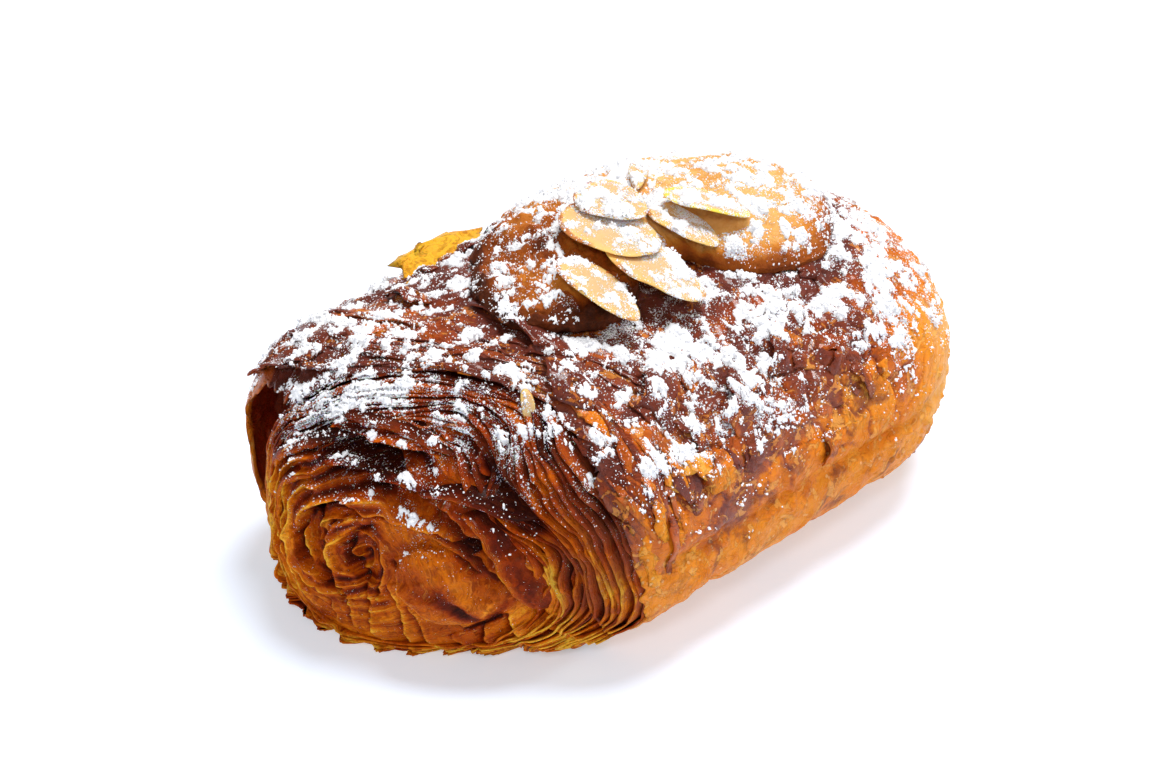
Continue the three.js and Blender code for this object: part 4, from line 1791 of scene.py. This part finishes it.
    def soft(self, angle: Array, scale: Array) -> tuple[Array, Array, Array]:
        """The soft dough inside the sheets.

        Args:
            angle: Direction round the coil, in degrees.
            scale: Distance out, from 0 at the eye to 1 at the rim.

        Returns:
            Points in mm, how much browner than plain dough they are, with painted shade and highlight, and
            the turn they lie in.
        """
        y1, z1 = self.form.contour(angle, np.ones(len(angle)))
        way = np.degrees(np.arctan2(z1 - self.form.eye[1], y1 - self.form.eye[0]))
        y, z = self.form.contour(angle, scale * (1 + self.warp(way, scale)))
        here = np.stack([y, z], axis=1)
        turn = self.turning(angle, scale, here)
        inside = turn - np.floor(turn)
        away = np.abs(2 * inside - 1)
        ring = 1.1 * np.exp(-((away / 0.26) ** 2)) + 0.5 * (1 - away)
        rim = np.exp(-((away / 0.15) ** 2))
        coiled = np.maximum(ramp(y, -5.5, -2.5) * (0.25 + 0.75 * ramp(z, 5, 13)), ramp(z, 37, 40))
        lobe = self.bulge(y, z)
        height = coiled * ring * (0.75 + 0.9 * cloud(here, 6, 174, 2)) + lobe
        layers = np.stack([turn * 5.5, angle * 0.02], axis=1)
        fine = lattice(layers, 1.0, 175)
        height += 0.07 * fine + 0.5 * cloud(here, 4, 75, 2) + 0.14 * cloud(here, 1.2, 76, 2)
        # Painted shade and highlight: darker in the troughs between the turns and paler along their crests.
        brown = coiled * (0.3 * ramp(away, 0.35, 0.95) - 0.26 * rim)
        brown += 0.07 * fine * (1 - 0.6 * ramp(lobe, 0, 2))
        for fold in self.folds:
            rise, heat = fold.shape(y, z)
            height, brown = height + rise, brown + heat
        sunk = mix(0.9, 2.3, ramp(scale, 0.755, 0.80))
        x = self.form.end_face(y, z) - self.stand(y, z) + sunk - height
        x = np.where(scale > 0.955, x + 5, x)
        # Painted shade where the dough sinks deep behind the sheets; a painted glow, paler, on the swollen
        # lobe and on the flat place.
        brown += 0.3 * ramp(scale, 0.76, 0.82) - 0.06 * ramp(lobe, 0.3, 2.5)
        brown -= 0.16 * knoll(y, z, self.flat, (4, 8), 10)
        return np.stack([x, y, np.maximum(z, 0.15)], axis=1), brown, turn

    def bulge(self, y: Array, z: Array) -> Array:
        """The swollen fold of dough beside the eye, with flow lines over it.

        Args:
            y: Places in the cross plane.
            z: Their z.

        Returns:
            The height of the dough at each.
        """
        here = np.stack([y, z], axis=1)
        dy, dz = y - self.lobe[0], z - self.lobe[1]
        away = np.hypot(dy / 9.0, dz / 8.6) + 0.08 * cloud(here, 5, 176, 2)
        dome = np.sqrt(np.clip(1 - away ** 2, 0, 1))
        flow = np.stack([dy * 0.25 - dz * 0.1, dz + 0.5 * dy], axis=1)
        folds = 1 - 2 * np.abs(cloud(flow, 4.2, 77, 2))
        spot = -1.2 * knoll(y, z, (-17.0, 15.0), (3.8, 1.3), 52)
        return (2.9 * dome + 0.7 * folds * ramp(dome, 0, 0.6)) * ramp(away, 1.0, 0.85) + spot

    def dough(self, name: str, columns: int, rows: int, low: float, high: float) -> None:
        """Part of the soft dough, between two scales.

        Args:
            name: The piece's name.
            columns: Faces round it.
            rows: Faces outwards.
            low: Inner scale.
            high: Outer scale.
        """
        def fields(u: Array, v: Array) -> tuple[Array, Array, Array]:
            """The dough's points, browning and turns: u runs round, and v outwards."""
            return self.soft(360 * u, low + (high - low) * v)

        mesh = grid_mesh(name, columns, rows, lambda u, v: fields(u, v)[0])
        points, brown, turn = fields(painted(mesh, "u"), painted(mesh, "v"))
        paint(mesh, "bake", np.clip(self.heat(points) + brown, 0.03, 0.99))
        paint(mesh, "v", turn * 0.6)
        paint(mesh, "dust", 0.34 + 0.5 * self.sugar.dust(points, np.full(len(points), 0.6)))
        weld(mesh)
        self.shop.piece(name, mesh, DoughSheet(), "crust")

    def build(self) -> None:
        """Makes the coil, the petals and the dough behind them."""
        self.coil("outer_layers", 0, 4)
        self.coil("middle_layers", 4, self.turns)
        loose = join("loose_petals", [self.petal(i, p) for i, p in enumerate(self.petals)])
        thicken(self.shop.piece("loose_petals", loose, DoughSheet(), "crust"), self.wall * 1.2)
        self.dough("inner_dough", 420, 200, 0.0, 0.56)
        self.dough("outer_dough", 560, 160, 0.56, 0.985)


# ---- the almond cream cap ----
@dataclass
class CreamCap(Maker):
    """The baked almond cream on the crown.

    Attributes:
        almonds: The solids that keep the sugar off.
        middle: A place inside it, from which its outline is measured.
    """

    almonds: Sequence[bpy.types.Object]
    middle: tuple[float, float] = (8.0, 2.0)

    def reach(self, angle: Array) -> Array:
        """How far the cap reaches from its middle in each direction.

        Args:
            angle: Directions, in degrees.

        Returns:
            The distance in each.
        """
        c, h = np.cos(np.radians(angle)), np.sin(np.radians(angle))
        total = np.zeros(len(angle))
        for pool in self.form.pools:
            x = (self.middle[0] - pool.x) / pool.length
            y = (self.middle[1] - pool.y) / pool.width
            u, v = c / pool.length, h / pool.width
            a, b = u * u + v * v, x * u + y * v
            root = b * b - a * (x * x + y * y - 1)
            reach = np.where(root > 0, np.maximum(0, (np.sqrt(np.maximum(root, 0)) - b) / a), 0)
            total += reach ** 8
        return total ** (1 / 8)

    def swell(self, x: Array, y: Array) -> Array:
        """How far the cream swells above the level of its rim.

        Args:
            x: Places on the cream.
            y: Their y.

        Returns:
            The height at each.
        """
        total = np.zeros(len(x))
        for pool in self.form.pools:
            away = ((x - pool.x) / pool.length) ** 2 + ((y - pool.y) / pool.width) ** 2
            total += (pool.rise * np.maximum(0, 1 - away) ** 0.8) ** 4
        return total ** 0.25

    def crown(self, x: Array, y: Array) -> Array:
        """Height of the crust under the cream.

        Args:
            x: Places on the crown.
            y: Their y.

        Returns:
            The height at each.
        """
        middle, half, up, _ = self.form.section(x)
        across = np.minimum(1, np.abs(y - middle) / half)
        return self.form.waist_z + up * (1 - across ** self.form.upper) ** (1 / self.form.upper)

    def place(self, u: Array, v: Array) -> Array:
        """Points of the cream: u runs round, and v from the top, over the rim, to the base.

        Args:
            u: Share of a full circle.
            v: Share from top to base.

        Returns:
            Points in mm.
        """
        angle = 360 * u
        steps = np.array([0.0, 0.55, 0.68, 0.78, 0.86, 0.92, 1.0])
        shares = np.interp(v, steps, [0.0, 0.8, 0.94, 1.0, 0.985, 0.93, 0.0])
        drops = np.interp(v, steps, [0.0, 0.0, 0.06, 0.42, 0.82, 1.0, 1.0])
        ring = circle(angle, 24)
        wavy = 1 + 0.03 * cloud(ring, 9, 111, 2) + 0.016 * cloud(ring, 2.4, 112, 2)
        reach = self.reach(angle) * shares * wavy
        x = self.middle[0] + reach * np.cos(np.radians(angle))
        y = self.middle[1] + reach * np.sin(np.radians(angle))
        rim = 3.4 + 1.2 * bump(angle, 200, 50)
        top = rim + self.swell(x, y)
        rough = ramp(x, 4, -8)
        here = np.stack([x, y], axis=1)
        level = mix(top, 0.4, drops)
        crags = (0.5 + 0.8 * rough) * cloud(here, 5, 113) + (0.3 + 0.9 * rough) * cloud(here, 1.8, 114)
        cracks = cells(here + 1.4 * np.stack([lattice(here, 4, 115), lattice(here, 4, 116)], 1), 8, 117)
        crags -= (0.45 + 0.4 * rough) * (1 - ramp(cracks.edge, 0, 0.09))
        bottom = ramp(drops, 1.0, 0.8)
        return np.stack([x, y, self.crown(x, y) + level + crags * bottom], axis=1)

    def open_sky(self, points: Array) -> Array:
        """0 where an almond lies over a point, and 1 elsewhere.

        Args:
            points: Points in mm.

        Returns:
            0 or 1 for each.
        """
        corners, faces = [], []
        for node in self.almonds:
            start = sum(map(len, corners))
            corners.append(coordinates(node.data) / MM + self.shop.shift)
            faces += [[start + corner for corner in face.vertices] for face in node.data.polygons]
        roof = BVHTree.FromPolygons(np.vstack(corners).tolist(), faces)
        up = Vector((0.0, 0.0, 1.0))
        return np.array([0.0 if roof.ray_cast(Vector(point), up)[0] else 1.0 for point in points])

    def build(self) -> None:
        """Makes the cream."""
        mesh = grid_mesh("cream", 420, 190, self.place)
        weld(mesh)
        points = coordinates(mesh) / MM
        v = painted(mesh, "v")
        over = ramp(v, 0.58, 0.8)
        left = ramp(points[:, 0], 2, -12)
        heat = 0.34 + 0.2 * cloud(points, 8, 118) + (0.36 + 0.06 * left) * over
        heat += 0.54 * left * (0.72 + 0.7 * cloud(points, 6, 119, 2)) + 0.1 * ramp(v, 0.5, 0.66)
        paint(mesh, "bake", np.clip(heat, 0.03, 0.97))
        paint(mesh, "dust", self.sugar.dust(points, 1 - ramp(v, 0.6, 0.8)) * self.open_sky(points))
        piece = self.shop.piece("baked_cream", mesh, BakedCream(), "almond_cream")
        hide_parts("almond_cream_cap")


# ---- the almonds ----
@dataclass
class Almonds(Maker):
    """The sliced almonds, each where its solid lies.

    Attributes:
        flakes: The solids, by the names of their nodes.
        glow_rim: The number of the slice with a yellow rim, a painted glow of light through its edge.
        plump, lean: How much wider than its solid a slice is made, and the sliver.
        sliver: The half length under which a slice counts as one.
        levels: How often its faces are halved.
    """

    flakes: dict[str, bpy.types.Object]
    glow_rim: str = "5"
    plump: float = 1.3
    lean: float = 0.72
    sliver: float = 5.0
    levels: int = 2

    def build(self) -> None:
        """Makes every slice."""
        for name, flake in self.flakes.items():
            self.slice(name, flake)

    def slice(self, name: str, flake: bpy.types.Object) -> None:
        """One slice: its solid's mesh, rounded, waved and painted from middle to rim.

        Args:
            name: The solid's node.
            flake: The solid.
        """
        mesh = flake.data.copy()
        mesh.materials.clear()
        weld(mesh)
        move(mesh, coordinates(mesh) + self.shop.shift * MM)
        with shaping(mesh) as bm:
            bmesh.ops.subdivide_edges(bm, edges=bm.edges[:], cuts=1, use_grid_fill=True, smooth=0.6)
        points = coordinates(mesh) / MM
        middle = points.mean(axis=0)
        _, _, axes = np.linalg.svd(points - middle, full_matrices=False)
        local = (points - middle) @ axes.T
        half = np.abs(local).max(axis=0)
        paint(mesh, "rim", np.hypot(local[:, 0] / half[0], local[:, 1] / half[1]))
        way = np.arctan2(local[:, 1], local[:, 0])
        round_it = np.stack([np.cos(way), np.sin(way), np.full(len(way), middle[0])], axis=1)
        ragged = 1 + 0.11 * cloud(round_it, 0.8, 123, 2) + 0.035 * np.cos(3 * way + middle[0])
        broad = self.plump if half[0] > self.sliver else self.lean
        local = local * np.stack([ragged, broad * ragged, np.full(len(way), 0.6)], axis=1)
        wave = 0.22 * cloud(points, 4.5, 121, 2) + 0.05 * cloud(points, 1.4, 122, 2)
        points = middle + local @ axes + np.outer(wave, axes[2])
        move(mesh, points * MM)
        paint(mesh, "dust", self.sugar.dust(points, np.full(len(points), 0.75)))
        number = name.rsplit("_", 1)[1]
        paint(mesh, "skin", ramp(cloud(round_it, 0.9, 124, 2), -0.1, 0.3))
        # Marks the slice whose rim gets a painted glow of light through it.
        paint(mesh, "glow_rim", np.full(len(points), 1.0 if number == self.glow_rim else 0.0))
        piece = self.shop.piece(f"almond_slice_{number}", mesh, SlicedAlmond(), "almond")
        curve = piece.modifiers.new("smooth", "SUBSURF")
        curve.levels = curve.render_levels = self.levels
        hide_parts(name)


# ---- the sugar ----
@dataclass
class IcingSugar(Maker):
    """Icing sugar that fell on whatever lay open to the sky: heaps of crumbs and loose grains.

    Attributes:
        along, across: The x and the y between which it falls.
        seam: The x at which the sheet of powder is parted in two.
        high: The height that it falls from.
        step: Grid size of the sheet of powder.
        drop: The height that one face of it may span.
        drops: How many crumbs fall.
        slick: How much less stays on an almond.
        rough: How many triangles it can fall on before the first of an almond.
    """

    along: tuple[float, float] = (-63.0, 66.0)
    across: tuple[float, float] = (-41.0, 43.0)
    seam: float = 2.0
    high: float = 90.0
    step: float = 0.3
    drop: float = 0.6
    drops: int = 230000
    slick: float = 0.08
    rough: int = 0

    def sky(self) -> BVHTree:
        """Everything that the sugar can land on, in the makers' coordinates in mm.

        Returns:
            A tree of triangles for casting rays.
        """
        graph = bpy.context.evaluated_depsgraph_get()
        corners, faces, start = [], [], 0
        for piece in self.shop.made:
            mesh = piece.evaluated_get(graph).to_mesh()
            mesh.calc_loop_triangles()
            index = np.empty(len(mesh.loop_triangles) * 3, np.int32)
            mesh.loop_triangles.foreach_get("vertices", index)
            corners.append(coordinates(mesh) / MM + self.shop.shift)
            faces.append(index.reshape(-1, 3) + start)
            start += len(mesh.vertices)
            self.rough += 0 if piece.name.startswith("almond") else len(index) // 3
            piece.evaluated_get(graph).to_mesh_clear()
        return BVHTree.FromPolygons(np.vstack(corners).tolist(), np.vstack(faces).tolist())

    def fall(self, ground: BVHTree, spots: Array) -> tuple[Array, Array, Array]:
        """Where sugar dropped at places of the plan lands.

        Args:
            ground: What it lands on.
            spots: Places of the plan, two columns.

        Returns:
            The landing points, 3 mm below the table where it misses, the surface's normals, and
            the level of the fall there, which is lower on the smooth almonds.
        """
        drop = Vector((0, 0, -1))
        points, ups = np.empty((len(spots), 3)), np.zeros((len(spots), 3))
        smooth = np.zeros(len(spots))
        for row, (x, y) in enumerate(spots):
            hit, up, face, _ = ground.ray_cast(Vector((x, y, self.high)), drop)
            points[row] = hit or (x, y, -3)
            ups[row] = up or (0, 0, 0)
            smooth[row] = hit is not None and face >= self.rough
        ups *= np.where(ups[:, 2:] < 0, -1, 1)
        return points, ups, self.sugar.level(points, ups[:, 2]) - self.slick * smooth

    def build(self) -> None:
        """Makes the sheets of powder, the crumbs on them and the loose grains."""
        ground = self.sky()
        self.bed("sugar_bed_near", ground, self.along[0], self.seam)
        self.bed("sugar_bed_far", ground, self.seam, self.along[1])
        rng = np.random.default_rng(SEED + 9)
        spots = np.column_stack([rng.uniform(*span, self.drops) for span in (self.along, self.across)])
        points, ups, level = self.fall(ground, spots)
        landed = (points[:, 2] > 2.5) & (ups[:, 2] > 0.12)
        share = rng.random(len(points))
        heap = landed & (level > 0) & (share < 0.45 + 0.3 * ramp(level, 0.3, 0))
        sizes = (0.15 + 0.12 * ramp(level, 0.0, 0.5)) * np.exp(rng.normal(0, 0.3, len(points)))
        ride = sizes * rng.uniform(0.2, 1.2, len(points)) + 0.28 * ramp(level, 0.05, 0.6)
        self.crumbs("sugar_heap", points[heap], ups[heap], sizes[heap], ride[heap], rng)
        density = self.sugar.density(points, ups[:, 2])
        stray = landed & ~heap & (share < 0.02 + 0.34 * density * ramp(level, -1.1, 0.0))
        sizes = np.exp(rng.normal(-2.25, 0.35, len(points)))
        self.crumbs("sugar_grains", points[stray], ups[stray], sizes[stray], 0.3 * sizes[stray], rng)

    def bed(self, name: str, ground: BVHTree, low: float, high: float) -> None:
        """The thin sheet of powder between two places along the roll.

        Args:
            name: The piece's name.
            ground: What it lies on.
            low: Where it starts, in mm.
            high: Where it ends.
        """
        right, left = self.across
        columns, rows = round((high - low) / self.step), round((left - right) / self.step)
        mesh = grid_mesh(name, columns, rows, lambda u, v: np.stack(
            [mix(low, high, u), mix(right, left, v), np.full(len(u), self.high)], axis=1))
        spot = coordinates(mesh)[:, :2] / MM
        points, ups, level = self.fall(ground, spot)
        level = np.where(points[:, 2] > 3, level - 1.2 * ramp(ups[:, 2], 0.62, 0.4), -1)
        thick = 0.16 + 0.34 * ramp(level, 0, 0.5) + 0.12 * lattice(spot, 0.7, 135)
        rest = points[:, 2] + np.where(level > 0, thick, -0.25)
        move(mesh, np.column_stack([spot, rest]) * MM)
        self.keep(mesh, level > 0, points[:, 2])
        thicken(self.shop.piece(name, mesh, SugarPowder(), "almond_cream"), 0.2)

    def keep(self, mesh: bpy.types.Mesh, covered: Array, floor: Array) -> None:
        """Deletes the faces with no sugar on them and those that would hang over a drop.

        Args:
            mesh: The sheet of powder.
            covered: True where sugar lies.
            floor: Height of the ground under each vertex.
        """
        with shaping(mesh) as bm:
            gone = []
            for face in bm.faces:
                corner = [vertex.index for vertex in face.verts]
                if not covered[corner].any() or np.ptp(floor[corner]) > self.drop:
                    gone.append(face)
            bmesh.ops.delete(bm, geom=gone, context="FACES")
            lone = [vertex for vertex in bm.verts if not vertex.link_faces]
            bmesh.ops.delete(bm, geom=lone, context="VERTS")

    def crumbs(self, name: str, points: Array, ups: Array, sizes: Array, rides: Array,
               rng: np.random.Generator, most: int = 19000) -> None:
        """Many small crumbs, in pieces that stay light.

        Args:
            name: The pieces' name, before their number.
            points: Where they lie.
            ups: The surface's normals there.
            sizes: Their radii.
            rides: How high each one's middle rides over the surface.
            rng: Random numbers.
            most: How many go into one piece.
        """
        log.info("%s: %d crumbs", name, len(points))
        crumb = self.crumb()
        stretch = rng.uniform(0.7, 1.3, (len(points), 1, 3)) * sizes[:, None, None]
        middles = (points + ups * rides[:, None])[:, None, :]
        for part, start in enumerate(range(0, len(points), most), start=1):
            count = min(most, len(points) - start)
            mesh = repeated(f"{name}_{part}", crumb, count)
            form = coordinates(crumb)[None] @ self.turns(rng, count)
            form = form * stretch[start:start + count] + middles[start:start + count]
            move(mesh, form.reshape(-1, 3) * MM)
            self.shop.piece(mesh.name, mesh, SugarPowder(), "almond_cream")

    @staticmethod
    def crumb() -> bpy.types.Mesh:
        """One crumb of radius 1, with eight faces.

        Returns:
            Its mesh.
        """
        mesh = bpy.data.meshes.new("crumb")
        with shaping(mesh) as bm:
            bmesh.ops.create_uvsphere(bm, u_segments=4, v_segments=2, radius=1.0)
        return mesh

    @staticmethod
    def turns(rng: np.random.Generator, count: int) -> Array:
        """Random turns about a level axis, as matrices.

        Args:
            rng: Random numbers.
            count: How many.

        Returns:
            One 3 by 3 matrix for each.
        """
        angle = rng.uniform(0, math.tau, count)
        c, s, zero = np.cos(angle), np.sin(angle), np.zeros(count)
        return np.stack([c, s * s, s * c, zero, c, -s, -s, s * c, c * c], axis=1).reshape(-1, 3, 3)


# ---- studio ----
class Lamp(Enum):
    """The soft lamps: place in metres, size and power of each."""

    KEY = ((0.36, -0.1, 1.7), 0.75, 31.0)
    FILL = ((-1.15, -0.9, 1.4), 0.35, 10.0)
    SIDE = ((1.15, -1.0, 0.9), 0.25, 6.0)


@dataclass
class Studio:
    """White table, soft lamps and the camera.

    Attributes:
        shift: The frame's origin in the makers' own coordinates, in mm.
        target: What the camera looks at, in those coordinates.
        azimuth, elevation, distance: Where it stands from there, in degrees and mm.
        lens, sensor: Its focal length and the width of its picture.
        lit: What the lamps are aimed at, in metres.
        table: Radius of the table, in metres.
        room: Strength of the light from all sides.
    """

    shift: Array
    target: tuple[float, float, float] = (-1.843, 4.584, 25.0)
    azimuth: float = -45.18
    elevation: float = 33.0
    distance: float = 488.36
    lens: float = 85.0
    sensor: float = 36.0
    lit: tuple[float, float, float] = (0.0, 0.0, 0.025)
    table: float = 3.0
    room: float = 0.29

    def build(self) -> None:
        """Sets up everything that isn't the pastry."""
        self.camera()
        for lamp in Lamp:
            self.lamp(lamp)
        self.light()
        self.floor()

    def light(self) -> None:
        """Lights the room evenly, and keeps the colours plain."""
        world = bpy.data.worlds.new("soft_room")
        world.use_nodes = True
        background = world.node_tree.nodes["Background"]
        background.inputs["Color"].default_value = (1.0, 1.0, 1.0, 1.0)
        background.inputs["Strength"].default_value = self.room
        scene = bpy.context.scene
        scene.world = world
        scene.view_settings.view_transform = "Standard"
        scene.view_settings.look = "None"

    def floor(self) -> None:
        """Lays the table under the pastry."""
        mesh = bpy.data.meshes.new("table")
        with shaping(mesh) as bm:
            bmesh.ops.create_circle(bm, cap_ends=True, segments=64, radius=self.table)
        mesh.materials.append(PaleFloor().material())
        link("table", mesh)

    def camera(self) -> None:
        """Places the camera."""
        a, e = math.radians(self.azimuth), math.radians(self.elevation)
        back = Vector((math.sin(a) * math.cos(e), -math.cos(a) * math.cos(e), math.sin(e)))
        target = Vector((np.array(self.target) - self.shift) * MM)
        data = bpy.data.cameras.new("camera")
        data.lens = self.lens
        data.sensor_width = self.sensor
        data.clip_start, data.clip_end = 0.02, 20.0
        eye = link("camera", data)
        aim(eye, target + back * self.distance * MM, target)
        bpy.context.scene.camera = eye

    def lamp(self, lamp: Lamp) -> None:
        """Hangs one lamp.

        Args:
            lamp: Which lamp.
        """
        place, size, power = lamp.value
        data = bpy.data.lights.new(lamp.name.lower(), "AREA")
        data.shape = "DISK"
        data.size = size
        data.energy = power
        aim(link(data.name, data), Vector(place), Vector(self.lit))


def main() -> None:
    """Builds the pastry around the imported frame."""
    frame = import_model()
    form = PastryForm()
    shop = Workshop(form.shift(*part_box("pastry_roll")))
    log.info("frame shift %s mm", np.round(shop.shift, 3))
    basics = (form, shop, SugarFall())
    flakes = {name: frame["nodes"][name] for name in sorted(frame["nodes"]) if name.startswith(FLAKE)}
    crust = Crust(*basics)
    crust.build()
    LayeredEnd(*basics).build()
    CreamCap(*basics, list(flakes.values())).build()
    Almonds(*basics, flakes).build()
    IcingSugar(*basics).build()
    crust.curl()
    Studio(shop.shift).build()
    log.info("%d pieces", len(shop.made))


if __name__ == "__main__":
    main()
